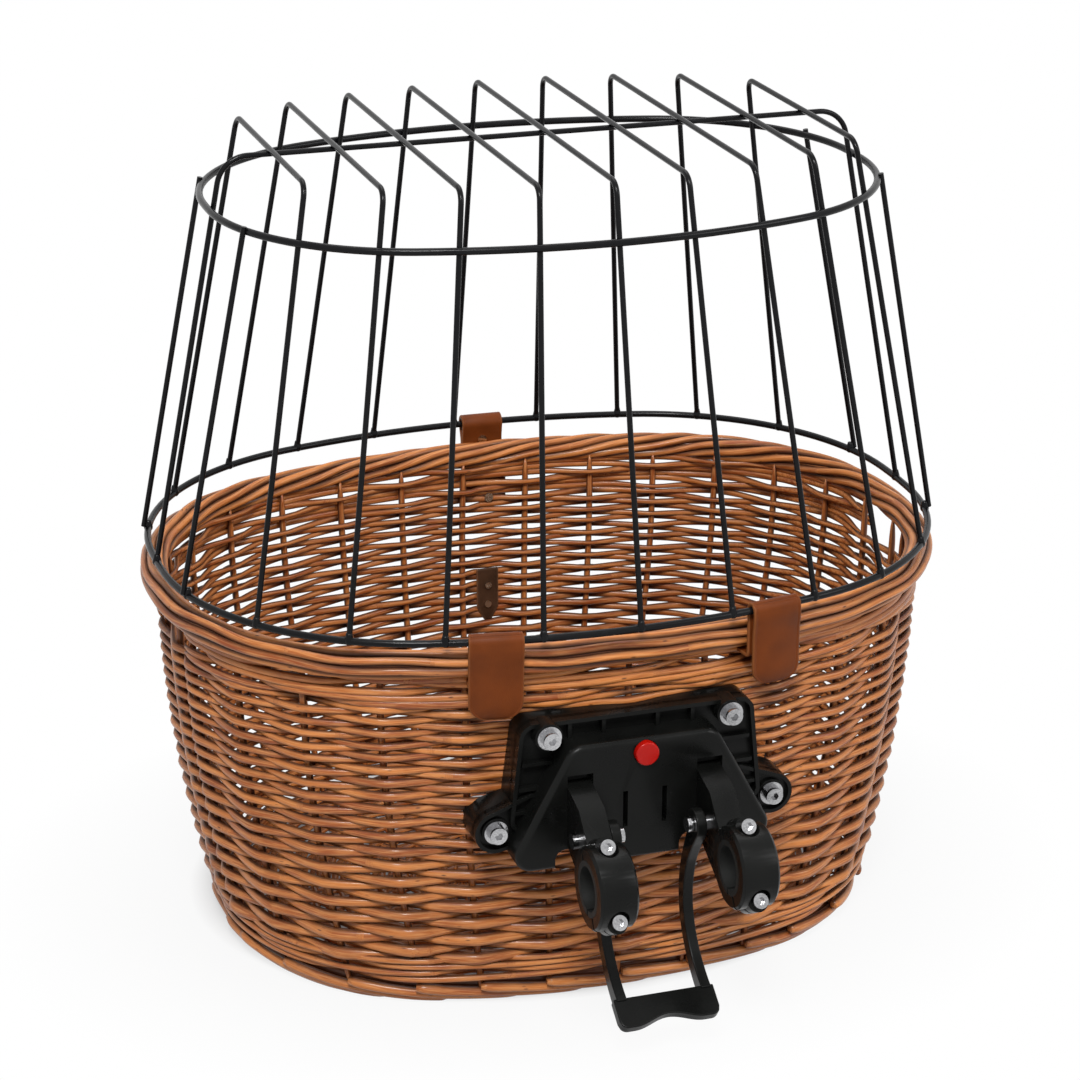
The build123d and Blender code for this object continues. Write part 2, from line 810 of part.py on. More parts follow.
with BuildPart() as plate_nuts:
    for bolts, front_seat, back_seat in bolt_rows:
        with BuildSketch(FRONT.offset(back_seat)):
            with Locations(*bolts):
                RegularPolygon(nut_radius, 6)
                Circle(bolt_radius, mode=Mode.SUBTRACT)
        extrude(amount=-nut_thickness)
finish(plate_nuts, "plate_nuts")

# Adapter body on the plate, with a bore for its button, sockets for the arms and a latch cavity
arm_middle = (arm_inner + arm_outer) / 2
front_face = FRONT.offset(body_front)
with BuildPart() as adapter_body:
    extrude(body_outline(skin_face, 0), amount=body_front - plate_front)
    fillet(adapter_body.faces().sort_by(Axis.Y)[0].edges(), body_rounding)
    with BuildSketch(front_face):
        for hand in (-1, 1):
            with Locations((hand * (panel_half_width + arch_outer) / 2, arch_top - overrun / 2)):
                RectangleRounded(arch_outer - panel_half_width, overrun, arch_rounding)
    extrude(amount=plate_front - body_front, mode=Mode.SUBTRACT)
    for places, level, width, height, depth in (
        (slot_place, (slot_low + slot_high) / 2, slot_width, slot_high - slot_low, slot_depth),
        (
            arm_middle,
            (arm_socket_low + arm_socket_high) / 2,
            arm_outer - arm_inner + 2 * arm_fit,
            arm_socket_high - arm_socket_low,
            arm_socket_depth,
        ),
    ):
        with BuildSketch(front_face):
            with Locations((-places, level), (places, level)):
                Rectangle(width, height)
        extrude(amount=-depth, mode=Mode.SUBTRACT)
    with BuildSketch(front_face):
        with Locations((0, button_height)):
            Circle(button_radius + button_gap)
    extrude(amount=plate_front - body_front, mode=Mode.SUBTRACT)
    with BuildSketch(skin_face):
        with Locations((0, (cavity_low + cavity_high) / 2)):
            Rectangle(2 * (latch_half_width + latch_gap), cavity_high - cavity_low)
    extrude(amount=latch_depth + 2 * latch_gap, mode=Mode.SUBTRACT)
finish(adapter_body, "adapter_body")

# Button: a domed pin whose back is cut to a wedge that pushes the latch down
DEPTH = Plane(FRONT.origin, x_dir=(0, -1, 0), z_dir=(-1, 0, 0))
button_back = plate_front + latch_gap + button_travel
button_low = button_height - button_radius
wedge_run = wedge_start - button_back
with BuildPart() as release_button:
    with BuildSketch(FRONT.offset(button_back)):
        with Locations((0, button_height)):
            Circle(button_radius)
    extrude(amount=body_front + button_proud - button_back)
    fillet(release_button.faces().sort_by(Axis.Y)[0].edges(), button_dome)
    with BuildSketch(DEPTH):
        with BuildLine():
            Polyline(
                (wedge_start, button_low),
                (button_back, button_low + wedge_run),
                (button_back, button_low),
                close=True,
            )
        make_face()
    extrude(amount=button_radius, both=True, mode=Mode.SUBTRACT)
finish(release_button, "release_button")

# Latch: a sliding block with a tooth that hooks up behind the plate's window
latch_back = plate_front + latch_gap
latch_front = latch_back + latch_depth
slope_low = button_low + wedge_start - latch_front - wedge_gap
hook_front = plate_front - plate_skin - hook_gap
with BuildPart() as latch:
    with BuildSketch(DEPTH):
        with BuildLine():
            Polyline(
                (latch_front, latch_low),
                (latch_front, slope_low),
                (latch_back, slope_low + latch_depth),
                (latch_back, tooth_high),
                (hook_front, tooth_high),
                (hook_front, tooth_high + hook_rise),
                (hook_front - hook_depth, tooth_high + hook_rise),
                (hook_front - hook_depth, tooth_low),
                (latch_back, tooth_low),
                (latch_back, latch_low),
                close=True,
            )
        make_face()
    extrude(amount=latch_half_width, both=True)
finish(latch, "latch")

with BuildPart() as latch_spring:
    with BuildSketch(FLOOR.offset(cavity_low)):
        with Locations((0, -latch_back - latch_depth / 2)):
            Circle(spring_radius)
            Circle(spring_bore, mode=Mode.SUBTRACT)
    extrude(amount=latch_low - cavity_low)
finish(latch_spring, "latch_spring")

# Handlebar clamps: an arm with the back half of each ring, a cap, a reducer and screws
tilt = radians(clamp_tilt)
pivot = (pivot_y, pivot_z)
for label, hand in (("left", -1), ("right", 1)):
    near_face = BAR.offset(hand * clamp_place - clamp_width / 2)
    split_plane = Plane((hand * clamp_place, 0, 0), x_dir=(1, 0, 0), z_dir=(0, -cos(tilt), sin(tilt)))
    lug_face = split_plane.offset(clamp_lug_rise)
    screw_places = [(0, -clamp_screw_place), (0, clamp_screw_place)]
    for part_label, facing in (("_clamp_arm", -1), ("_clamp_cap", 1)):
        with BuildPart() as half:
            with BuildSketch(near_face):
                Circle(clamp_radius)
            extrude(amount=clamp_width)
            chamfer(half.edges().filter_by(GeomType.CIRCLE), clamp_rounding)
            if facing < 0:
                with BuildSketch(BAR.offset(hand * arm_middle)):
                    with BuildLine():
                        Polyline(*arm_root, *arm_top_edge, close=True)
                    make_face()
                extrude(amount=(arm_outer - arm_inner) / 2, both=True)
            with BuildSketch(lug_face):
                with Locations(*screw_places):
                    Circle(clamp_lug_radius)
            extrude(amount=-2 * clamp_lug_rise)
            with BuildSketch(lug_face):
                with Locations(*screw_places):
                    Circle(clamp_lug_radius)
            extrude(amount=overrun, mode=Mode.SUBTRACT)
            with BuildSketch(lug_face):
                with Locations(*screw_places):
                    Circle(clamp_screw_radius)
            extrude(amount=-clamp_lug_rise - clamp_screw_reach, mode=Mode.SUBTRACT)
            with BuildSketch(near_face.offset(-overrun)):
                Circle(reducer_radius + arm_fit)
            extrude(amount=clamp_width + 2 * overrun, mode=Mode.SUBTRACT)
            with BuildSketch(split_plane.offset(facing * clamp_split / 2)):
                Rectangle(2 * overrun, 2 * overrun)
            extrude(amount=-facing * overrun, mode=Mode.SUBTRACT)
            with BuildSketch(BAR):
                with Locations(pivot):
                    Circle(pivot_radius)
            extrude(amount=2 * overrun, both=True, mode=Mode.SUBTRACT)
        finish(half, label + part_label)

    with BuildPart() as reducer:
        with BuildSketch(near_face):
            Circle(reducer_radius)
            Circle(bar_radius, mode=Mode.SUBTRACT)
            with Locations((0, -reducer_radius)):
                Rectangle(reducer_slit, reducer_radius, mode=Mode.SUBTRACT)
        extrude(amount=clamp_width)
    finish(reducer, label + "_reducer")

with BuildPart() as clamp_screws:
    for hand in (-1, 1):
        head_face = Plane((hand * clamp_place, 0, 0), x_dir=(1, 0, 0), z_dir=(0, -cos(tilt), sin(tilt)))
        for place in (-clamp_screw_place, clamp_screw_place):
            with BuildSketch(head_face.offset(clamp_lug_rise)):
                with Locations((0, place)):
                    Circle(clamp_screw_head_radius)
            extrude(amount=clamp_screw_head)
            with BuildSketch(head_face.offset(clamp_lug_rise + clamp_screw_head)):
                with Locations((0, place)):
                    RegularPolygon(bolt_socket_radius, 6)
            extrude(amount=-bolt_socket_depth, mode=Mode.SUBTRACT)
            with BuildSketch(head_face.offset(clamp_lug_rise)):
                with Locations((0, place)):
                    Circle(clamp_screw_radius)
            extrude(amount=-clamp_lug_rise - clamp_screw_reach)
finish(clamp_screws, "clamp_screws")

# Brace that rests on the head tube: two legs on pivot bolts, joined by a hollowed foot
with BuildPart() as brace:
    for hand in (-1, 1):
        with BuildSketch(BAR.offset(hand * (leg_inner + leg_outer) / 2)):
            with BuildLine():
                Spline(*leg_route)
            trace(line_width=leg_thickness)
            with Locations(pivot):
                Circle(eye_radius)
        extrude(amount=(leg_outer - leg_inner) / 2, both=True)
    with BuildSketch(Plane(foot_back, x_dir=(1, 0, 0), z_dir=foot_slope)) as foot:
        with Locations((0, foot_length / 2)):
            Rectangle(2 * foot_half_width, foot_length)
        with Locations((0, foot_length + foot_hollow_radius - foot_hollow_depth)):
            Circle(foot_hollow_radius, mode=Mode.SUBTRACT)
        tips = foot.vertices().filter_by(lambda v: v.Y > foot_length / 2)
        fillet(tips.filter_by(lambda v: abs(v.X) > foot_half_width - side_play), foot_corner)
        fillet(foot.vertices().filter_by(lambda v: v.Y > foot_length - side_play).sort_by(lambda v: abs(v.X))[0:2], foot_swell)
    extrude(amount=foot_thickness / 2, both=True)
    with BuildSketch(BAR):
        with Locations(pivot):
            Circle(pivot_radius + pivot_fit)
    extrude(amount=overrun, both=True, mode=Mode.SUBTRACT)
finish(brace, "support_brace")

nut_face = leg_inner - side_play
with BuildPart() as pivot_bolts:
    for hand in (-1, 1):
        for start, length, radius in (
            (arm_outer, pivot_head, pivot_head_radius),
            (nut_face - pivot_head, arm_outer - nut_face + pivot_head, pivot_radius),
            (nut_face - pivot_head, pivot_head, pivot_head_radius),
        ):
            with BuildSketch(BAR.offset(hand * start)):
                with Locations(pivot):
                    Circle(radius)
            extrude(amount=hand * length)
finish(pivot_bolts, "brace_pivot_bolts")

with BuildPart() as pivot_washers:
    for hand in (-1, 1):
        with BuildSketch(BAR.offset(hand * (leg_outer + side_play))):
            with Locations(pivot):
                Circle(pivot_head_radius)
                Circle(pivot_radius, mode=Mode.SUBTRACT)
        extrude(amount=hand * (arm_inner - leg_outer - side_play))
finish(pivot_washers, "brace_washers")
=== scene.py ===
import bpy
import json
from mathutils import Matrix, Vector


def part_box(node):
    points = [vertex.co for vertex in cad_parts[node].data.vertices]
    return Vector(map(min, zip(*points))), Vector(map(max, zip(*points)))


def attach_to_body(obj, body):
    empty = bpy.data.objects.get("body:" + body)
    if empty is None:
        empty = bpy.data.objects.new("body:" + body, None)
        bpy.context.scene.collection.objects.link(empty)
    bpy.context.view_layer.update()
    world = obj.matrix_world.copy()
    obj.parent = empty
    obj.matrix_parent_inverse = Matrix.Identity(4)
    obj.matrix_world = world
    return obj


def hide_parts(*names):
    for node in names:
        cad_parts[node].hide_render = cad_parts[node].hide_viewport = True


bl_info = {
    "name": "Willow Dog Basket",
    "version": (1, 0, 0),
    "blender": (4, 5, 0),
    "location": "View3D > Sidebar > Dog Basket",
    "description": "Dresses the packed bicycle dog basket: willow weave, leather, wires and bracket",
    "category": "Object",
}

import json
import math

import bmesh
import bpy
import numpy as np
from bpy.props import FloatProperty, FloatVectorProperty, IntProperty, PointerProperty
from mathutils import Vector

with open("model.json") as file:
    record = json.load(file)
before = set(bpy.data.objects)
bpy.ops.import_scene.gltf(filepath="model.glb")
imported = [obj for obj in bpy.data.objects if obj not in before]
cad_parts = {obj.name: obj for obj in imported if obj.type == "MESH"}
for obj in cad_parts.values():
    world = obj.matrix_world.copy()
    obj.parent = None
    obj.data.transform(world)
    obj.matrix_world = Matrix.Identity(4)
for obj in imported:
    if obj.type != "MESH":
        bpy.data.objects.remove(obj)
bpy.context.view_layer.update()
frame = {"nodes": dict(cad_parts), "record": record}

# Places taken from the model's source, in metres
BASKET_Y = 0.242
FLOOR_Z = -0.120
RIM_HALF_LENGTH = 0.232
RIM_HALF_WIDTH = 0.165
FOOT_INSET_LENGTH = 0.027
FOOT_INSET_WIDTH = 0.011
FOOT_TOP = 0.013
WALL_TOP = 0.217
WALL_THICKNESS = 0.006
BORDER_HEIGHT = 0.2245
BORDER_OUTSET = 0.001
BORDER_HALF = 0.0085
INSET_HEIGHTS = (0.0, 0.3, 0.67, 1.0)
INSET_SHARES = (1.0, 0.52, 0.11, 0.0)
SIDE_SHARE = 2.0
END_SHARE = 2.5
CORNER_SHARE = 0.87
HOLE_FRONT = -0.037
HOLE_BACK = 0.021
HOLE_STAKE = -0.018
HOLE_LOW = 0.197
RING_HALF_LENGTH = 0.235
RING_HALF_WIDTH = 0.179
RING_HEIGHT = 0.242
FRONT_STRAP_PLACE = 0.082
FRONT_STRAP_WIDTH = 0.030
BACK_STRAP_PLACE = 0.018
BACK_STRAP_WIDTH = 0.027
STRAP_THICKNESS = 0.0024
STRAP_GAP = 0.0004
FRONT_WRAP = 0.0037
BACK_WRAP = 0.0046
HOOP_FOOT_SHARES = (0, 0.2366, 0.4643, 0.674, 0.857)
END_WIRE_PLACE = 0.056
SEED = 11
MM = 0.001
SHARP = math.radians(30)
BODY_OF = {node: body for body, nodes in frame["record"]["behaviour"]["bodies"].items() for node in nodes}

# The weave, in metres: its first row, how rows grow below a level, where closer and waled rows
# begin, depths under the wall's outside, the handles' ends, and the heights that each piece covers
FIRST_ROW = 0.0308
ROW_GROWTH = 0.0195
ROW_GROWTH_TOP = 0.155
ROW_GROWTH_SPAN = 0.12
CLOSE_ROWS = 0.186
WALE_LEVEL = 0.1975
STAKE_DEPTH = 0.0016
PRESSED_DEPTH = 0.0043
CLOSE_SHARE = 0.94
HANDLE_X = 0.23
HANDLE_POST = 0.0025
HANDLE_ROOM = 0.0015
UPRIGHT_LOW = 0.006
SWELL_LOW = 0.028
BANDS = {"weavers_low": (0, 0.094), "weavers_middle": (0.094, 0.157), "weavers_high": (0.157, 1)}

# The rim's border: points of one round, the strands' path round its core, and their half sizes
RIM_POINTS = 520
RIM_PATH = 0.00545
RIM_CORE = (0.0052, 0.0051)
RIM_STRAND = (0.0030, 0.0025)

# The foot: its waled rows, the rods under them, each from its blunt end to its thin one, and the core
# behind, painted dark as the shade in the gap, with its height, depth and half sizes
FOOT_ROWS = 4
FOOT_ROW_LOW = 0.0176
FOOT_ROW_PITCH = 0.0040
FOOT_ROW_ROD = 0.0021
FOOT_ROW_DEPTH = 0.0046
FOOT_ROW_SWAY = 0.0026
FOOT_ROD = 0.0034
FOOT_ROD_TAPER = 0.0009
FOOT_ROD_TOP = 0.0118
FOOT_ROD_DROP = 0.0095
FOOT_ROD_DEPTH = 0.0012
FOOT_ROD_SINK = 0.0058
FOOT_ROD_RUN = 0.118
FOOT_ROD_ENDS = (0.72, 0.93, 1.0)
FOOT_CORE_PLACE = (0.0072, 0.0092)
FOOT_CORE = (0.0022, 0.0066)

# The base: its oval, the middle of its weave, its rounds with the first one's place, the sticks that
# reach in to the spine, the spine's three rods, and the half sizes of each kind of rod
BASE_HALF_LENGTH = 0.1935
BASE_HALF_WIDTH = 0.1425
BASE_LEVEL = FLOOR_Z + 0.009
BASE_ROUNDS = 29
BASE_EDGE = 0.0022
BASE_PITCH = 0.0047
BASE_WAVE = 0.0018
BASE_STICK_END = 0.05
BASE_SPINE_HALF = 0.185
BASE_SPINE_PLACES = (-0.006, 0, 0.006)
BASE_ROD = (0.0022, 0.0019)
BASE_STICK = (0.0024, 0.0016)
BASE_SPINE = (0.0028, 0.0018)

# The plate in the bracket's front view, in millimetres: circles (x, height, radius) that its outline
# and its ears' go round, the cut between the adapter's lobes, and ribs by their middle and reach
PLATE_CIRCLES = ((61, 62, 9), (-61, 62, 9), (67, 13, 8), (-67, 13, 8))
PLATE_CUT = ((-58, 4), (58, 4))
EAR_CIRCLES = ((83, 7, 12.5), (62, 23, 5), (60, 2, 4))
UPRIGHT_RIBS = (-40, -20, 12, 33)
UPRIGHT_RIB_REACH = (44, 70)
SIDE_RIBS = ((46, 44, 68), (31, 48, 70), (17, 52, 73))
RIB_HALF = 1.1

# Depths along y, in metres, of the plate's skin, its ears', its ribs and the lips' fronts, how far the
# lips reach into the wicker, and their widths; bosses add their circle in millimetres
PLATE_SKIN = (0.070, 0.0732)
EAR_SKIN = (0.0695, 0.0732)
RIB_DEPTHS = (0.0662, 0.0722)
LIP_FRONT = 0.0652
EAR_LIP_FRONT = 0.0662
LIP_SEAT = 0.002
LIP_WIDTH = 0.0024
EAR_LIP_WIDTH = 0.0022
BOSSES = ((54, 64, 8, 0.061), (83, 7, 8, 0.0675))

# The brace seen from the side, in millimetres: the middle of a leg, as (y, height), from its pivot
# down, and its half widths on the basket's side and the bar's, each at its share of the way
BRACE_ROUTE = ((36, 11), (46.5, -14), (50.5, -42), (43.5, -63), (31, -77), (17.5, -86.5))
BRACE_BEHIND = ((0, 0.04, 0.075, 0.5, 0.8, 1), (9.0, 7.3, 4.2, 4.0, 4.4, 5.2))
BRACE_BEFORE = ((0, 0.1, 0.24, 0.5, 0.8, 1), (9.0, 6.8, 4.7, 4.2, 4.5, 5.2))

# The brace in metres: its eye's radius, its legs' places along x, and its foot's half width, front,
# back, corner radius, hollow's half width and half depth, depths, and place with its slope
BRACE_EYE = 0.009
BRACE_LEG = (0.0222, 0.0283)
BRACE_FOOT_HALF = 0.030
BRACE_FOOT_LENGTH = 0.0175
BRACE_FOOT_BACK = -0.001
BRACE_FOOT_CORNER = 0.005
BRACE_FOOT_HOLLOW = (0.021, 0.0025)
BRACE_FOOT_DEPTHS = (-0.0033, 0.0032)
BRACE_FOOT_SLOPE = (0, 0.0182, -0.0850), (1, 0, 0), (0, -0.825, -0.565), (0, 0.565, -0.825)

# Widths of the bevels that break the moulded pieces' edges, in metres
MOULDED_EDGE = 0.0006
BUTTON_EDGE = 0.0005
BRACE_EDGE = 0.0008

# A weld's fillet, in millimetres: its rings' heights over the wire's middle and their radii, and its
# lean inwards along x, at the ends alone, and along y
WELD_RISE = (-2.2, -1.9, -1.0, 0.2, 1.4, 2.6, 3.8, 4.8)
WELD_RADIUS = (0.8, 1.7, 2.5, 2.75, 2.5, 2.15, 1.85, 1.62)
WELD_LEAN = (0.12, 0.1)

# Heights of the straps' bends under the wire's middle, in metres, and their turns round it, in degrees
# from straight outward
NECK = -0.0092
FRONT_SLOT = -0.0286
FRONT_TAIL = -0.0446
KNEE = -0.017
TONGUE_TIP = -0.047
BACK_TAIL = -0.0494
BACK_BEND = -0.0310
BACK_SHOULDER = -0.0262
LEAF_TOP = -0.0116
FRONT_TURN = (200, 66.5)
TONGUE_TURN = (65.5, -5)
BACK_TURN = (195, -10)

# The tongues: how much wider than the strap, their last corners' radius, the knee's and the tip's
# places outside the border, and the right one's slant; then the tab's half widths by height
TONGUE_EXTRA = 0.0004
TONGUE_CORNER = 0.010
KNEE_OUT = 0.0044
TIP_OUT = 0.0016
RIGHT_DRIFT = -0.07
TAB_RISE = (0, 0.0012, 0.009, 0.036)
TAB_HALF = (0.0026, 0.0034, 0.0075, 0.0075)
TAB_THICKNESS = 0.0021
TAB_INSET = 0.0011

# The stage: the floor's half size, the lamps' places, widths and powers and the point that they
# face, the world's strength on the object, and the camera
FLOOR_HALF = 30.0
LAMPS = (
    ("key", (-0.7, -1.5, 2.3), 0.7, 70),
    ("fill", (1.7, -1.3, 1.5), 1.1, 18),
    ("top", (0.2, 1.2, 2.6), 1.8, 22),
)
LAMP_AIM = (0, BASKET_Y, 0.1)
SKY = 0.25
CAMERA_PLACE = (-0.5412, -1.3867, 0.7817)
CAMERA_AIM = (-0.0217, 0.242, 0.1093)
CAMERA_LENS = 101.3
CAMERA_SHIFT = (0.032, 0.0012)


# Mesh tools
def oval(half_length, half_width, angle):
    """Points of the basket's oval and their outward normals, by the normal's angle.

    Each quarter is three touching arcs, of an end, a corner and a side radius, so the point is
    the arc's centre plus its radius along the normal. Half sizes and angle broadcast together.
    """
    half_length, half_width, angle = np.broadcast_arrays(half_length, half_width, angle)
    side, end, corner = SIDE_SHARE * half_length, END_SHARE * half_width, CORNER_SHARE * half_width
    side_y, end_x = half_width - side, half_length - end
    span = np.hypot(end_x, side_y)
    along = ((side - corner) ** 2 - (end - corner) ** 2 + span**2) / (2 * span)
    across = np.sqrt((side - corner) ** 2 - along**2)
    lean_x, lean_y = end_x / span, -side_y / span
    corner_x = lean_x * along + lean_y * across
    corner_y = side_y + lean_y * along - lean_x * across
    c, s = np.cos(angle), np.sin(angle)
    end_turn = np.arctan2(corner_y, corner_x - end_x)
    side_turn = np.arctan2(corner_x, corner_y - side_y)
    quarter = np.arctan2(np.abs(s), np.abs(c))
    on_end, on_side = quarter < end_turn, quarter > math.pi / 2 - side_turn
    radius = np.where(on_end, end, np.where(on_side, side, corner))
    centre_x = np.where(on_end, end_x, np.where(on_side, 0, corner_x))
    centre_y = np.where(on_end, 0, np.where(on_side, side_y, corner_y))
    x = np.sign(c) * centre_x + radius * c
    y = np.sign(s) * centre_y + radius * s
    return x, y, c, s


def wall_sizes(height):
    """Half length and half width of the wall's outside: a cubic through the source's four heights."""
    share = (height - FOOT_TOP) / (WALL_TOP - FOOT_TOP)
    inset = np.polyval(np.polyfit(INSET_HEIGHTS, INSET_SHARES, 3), share)
    return RIM_HALF_LENGTH - FOOT_INSET_LENGTH * inset, RIM_HALF_WIDTH - FOOT_INSET_WIDTH * inset


def lengths_along(points):
    """Distance of each point along the line through them, from 0 at the first."""
    return np.concatenate([[0], np.cumsum(np.linalg.norm(np.diff(points, axis=0), axis=1))])


ANGLES = np.linspace(-math.pi, math.pi, 4001)
RIM_OVAL = np.stack(oval(RIM_HALF_LENGTH, RIM_HALF_WIDTH, ANGLES)[:2], -1)
ARC = lengths_along(RIM_OVAL)
ROUND = ARC[-1]


def once_round(count):
    """Distances of evenly spaced points, once round the rim's oval."""
    return np.linspace(0, ROUND, count, endpoint=False)


def angle_at(distance):
    """Normal angle at a distance round the rim's oval, counted from the left end towards the front."""
    return np.interp(np.mod(distance, ROUND), ARC, ANGLES)


def distance_at(x, y):
    """Distance round the rim's oval of the point nearest to x, y."""
    return ARC[np.argmin(np.hypot(RIM_OVAL[:, 0] - x, RIM_OVAL[:, 1] - y))]


def on_wall(distance, height, inward):
    """Point on the wall at a distance round it, a height above the floor and a depth under its outside."""
    angle = angle_at(distance)
    half_length, half_width = wall_sizes(height)
    x, y, c, s = oval(half_length, half_width, angle)
    point = np.stack([x - inward * c, y - inward * s + BASKET_Y, height + FLOOR_Z + 0 * x], -1)
    return point, np.stack([c, s, 0 * c], -1)


def oval_y(x, half_length, half_width):
    """Half width of an oval at x, read off its own points."""
    xs, ys, _, _ = oval(half_length, half_width, np.linspace(math.pi, 0, 3001))
    return float(np.interp(x, xs, ys))


def oval_x(y, half_length, half_width):
    """Half length of an oval at y, read off its own points."""
    xs, ys, _, _ = oval(half_length, half_width, np.linspace(-math.pi / 2, math.pi / 2, 3001))
    return float(np.interp(y, ys, xs))


def skin(rings, closed=False):
    """Faces of a tube through rings of points, numbered ring by ring, with flat caps on an open one.

    The enclosed volume is the sum over faces of a corner times the cross of the face's diagonals,
    and where it comes out negative every face is turned round.
    """
    n, sides = rings.shape[:2]
    i, k = np.meshgrid(np.arange(n if closed else n - 1), np.arange(sides), indexing="ij")
    here, ahead = i * sides, (i + 1) % n * sides
    quads = np.stack([here + k, here + (k + 1) % sides, ahead + (k + 1) % sides, ahead + k], -1).reshape(-1, 4)
    points = rings.reshape(-1, 3) - rings.reshape(-1, 3).mean(0)
    a, b, c, d = (points[quads[:, corner]] for corner in range(4))
    turned = np.einsum("ij,ij->", a, np.cross(c - a, d - b)) < 0
    caps = []
    if not closed:
        first, last = np.arange(sides), np.arange(sides) + (n - 1) * sides
        caps = [first[::-1].tolist(), last.tolist()]
        if turned:
            caps = [cap[::-1] for cap in caps]
    return (quads[:, ::-1] if turned else quads), caps


# Where something lies flat on the wall's inside: side, middle, half width and the heights it covers
PRESSED = (
    (-1, 0.0, 0.070, 0.170, 0.196),
    (-1, 0.0, 0.100, 0.114, 0.140),
    (-1, -0.082, 0.017, 0.150, 0.195),
    (-1, 0.082, 0.017, 0.150, 0.195),
    (1, 0.0155, 0.010, 0.109, 0.149),
    (1, 0.018, 0.006, 0.190, 0.206),
)


def pressed(distance, height):
    """How far weavers are pressed flat under straps, strips and the lead tab: 1 there, fading past
    their edges."""
    x, y, _, _ = oval(RIM_HALF_LENGTH, RIM_HALF_WIDTH, angle_at(distance))
    share = np.zeros_like(distance)
    for side, middle, half, low, high in PRESSED:
        if low < height < high:
            near = np.clip((half + 0.008 - np.abs(x - middle)) / 0.008, 0, 1)
            share = np.maximum(share, near * (y * side > 0))
    return share


# Thickness of an open rod's last rings, from its tip inwards
ROD_ENDS = (0.35, 0.75, 0.93)


class Rods:
    """Collects rods as grids of points and turns them into one mesh with grain attributes."""

    def __init__(self):
        self.points, self.quads, self.caps, self.grain, self.tone, self.crevice = [], [], [], [], [], []
        self.count = 0

    def add(
        self, path, out, half_out, half_up, tone, sides=8, closed=False, up=(0, 0, 1), hide=0.0, ends=ROD_ENDS
    ):
        """Ellipse of the two half sizes carried along the path: centre + out cos a + up sin a.

        A closed path joins its ends; an open one is rounded off by shrinking its last rings. The
        crevice value is painted shade: dark above and below, where the next rows shade the rod, and
        on the side that hides behind a stake: outside where hide is above 0 and inside where it is below.
        """
        n = len(path)
        out, up = (np.broadcast_to(np.asarray(way, float), path.shape) for way in (out, up))
        half_out, half_up, tone, hide = (np.broadcast_to(value, n) for value in (half_out, half_up, tone, hide))
        if not closed:
            keep = np.ones(n)
            for i, share in enumerate(ends):
                keep[i] = keep[n - 1 - i] = share
            half_out, half_up = half_out * keep, half_up * keep
        a = 2 * math.pi * np.arange(sides) / sides
        ring = half_out[:, None, None] * np.cos(a)[None, :, None] * out[:, None, :]
        ring = ring + half_up[:, None, None] * np.sin(a)[None, :, None] * up[:, None, :]
        points = path[:, None, :] + ring
        quads, caps = skin(points, closed)
        self.quads.append(quads + self.count)
        self.caps += [[corner + self.count for corner in cap] for cap in caps]
        along = lengths_along(path)
        grain = np.empty((n, sides, 3))
        grain[..., 0] = along[:, None] + 3 * tone[:, None]
        grain[..., 1] = half_out[:, None] * np.cos(a)[None] + 0.1 * tone[:, None]
        grain[..., 2] = half_up[:, None] * np.sin(a)[None]
        # Painted shade: the half of the rod that hides behind a stake, and its top and bottom, go dark
        dark = hide[:, None] * np.cos(a)[None]
        self.points.append(points.reshape(-1, 3))
        self.grain.append(grain.reshape(-1, 3))
        self.tone.append(np.repeat(tone, sides))
        self.crevice.append(np.clip(np.maximum(np.abs(np.sin(a))[None] ** 3, dark), 0, 1).ravel())
        self.count += n * sides

    def make(self, name, body="basket"):
        quads = np.concatenate(self.quads)
        piece = new_piece(name, np.concatenate(self.points), quads.tolist() + self.caps, body)
        for name in ("grain", "tone", "crevice"):
            attach(piece, name, np.concatenate(getattr(self, name)))
        return piece


def in_scene(name, data):
    """An object at the origin that shows a mesh, a lamp or a camera."""
    made = bpy.data.objects.new(name, data)
    bpy.context.scene.collection.objects.link(made)
    return made


def new_piece(name, points, faces, body=None, smooth=True):
    """A mesh object at the origin, riding on a body of the frame."""
    mesh = bpy.data.meshes.new(name)
    mesh.from_pydata(np.asarray(points, float).tolist(), [], faces)
    mesh.polygons.foreach_set("use_smooth", np.full(len(mesh.polygons), smooth))
    mesh.update()
    piece = in_scene(name, mesh)
    if body:
        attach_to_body(piece, body)
    return piece


def attach(piece, name, values):
    """Stores one number or one vector for each point of the piece."""
    values = np.asarray(values, np.float32)
    kind, key = ("FLOAT", "value") if values.ndim == 1 else ("FLOAT_VECTOR", "vector")
    made = piece.data.attributes.new(name, kind, "POINT")
    made.data.foreach_set(key, values.ravel())


def wire_frame(place, back=False):
    """Where a strap hangs on the cage's bottom ring: the wire's centre, outward, and along the
    strap's width."""
    side = SIDE_SHARE * RING_HALF_LENGTH
    facing = 1 if back else -1
    out_x = place / side
    out_y = facing * math.sqrt(1 - out_x**2)
    centre_y = facing * (RING_HALF_WIDTH - side + math.sqrt(side**2 - place**2))
    centre = np.array([place, centre_y + BASKET_Y, RING_HEIGHT + FLOOR_Z])
    return centre, np.array([out_x, out_y, 0]), np.array([out_y, -out_x, 0])


def strap_levels(place):
    """Outward places, from the wire's centre, of a strap on the border, of the wall's face and of
    its inside."""
    ring = oval_y(place, RING_HALF_LENGTH, RING_HALF_WIDTH)
    border = oval_y(place, RIM_HALF_LENGTH + BORDER_OUTSET, RIM_HALF_WIDTH + BORDER_OUTSET) + BORDER_HALF
    wall = oval_y(place, RIM_HALF_LENGTH, RIM_HALF_WIDTH)
    layer = border - ring + STRAP_GAP + STRAP_THICKNESS / 2
    return layer, wall - ring, wall - ring - WALL_THICKNESS


def turn_points(radius, start, end, count=22):
    """Points of an arc round the wire, by the angle from straight outward in degrees."""
    angle = np.radians(np.linspace(start, end, count))
    return np.stack([radius * np.cos(angle), radius * np.sin(angle)], -1)


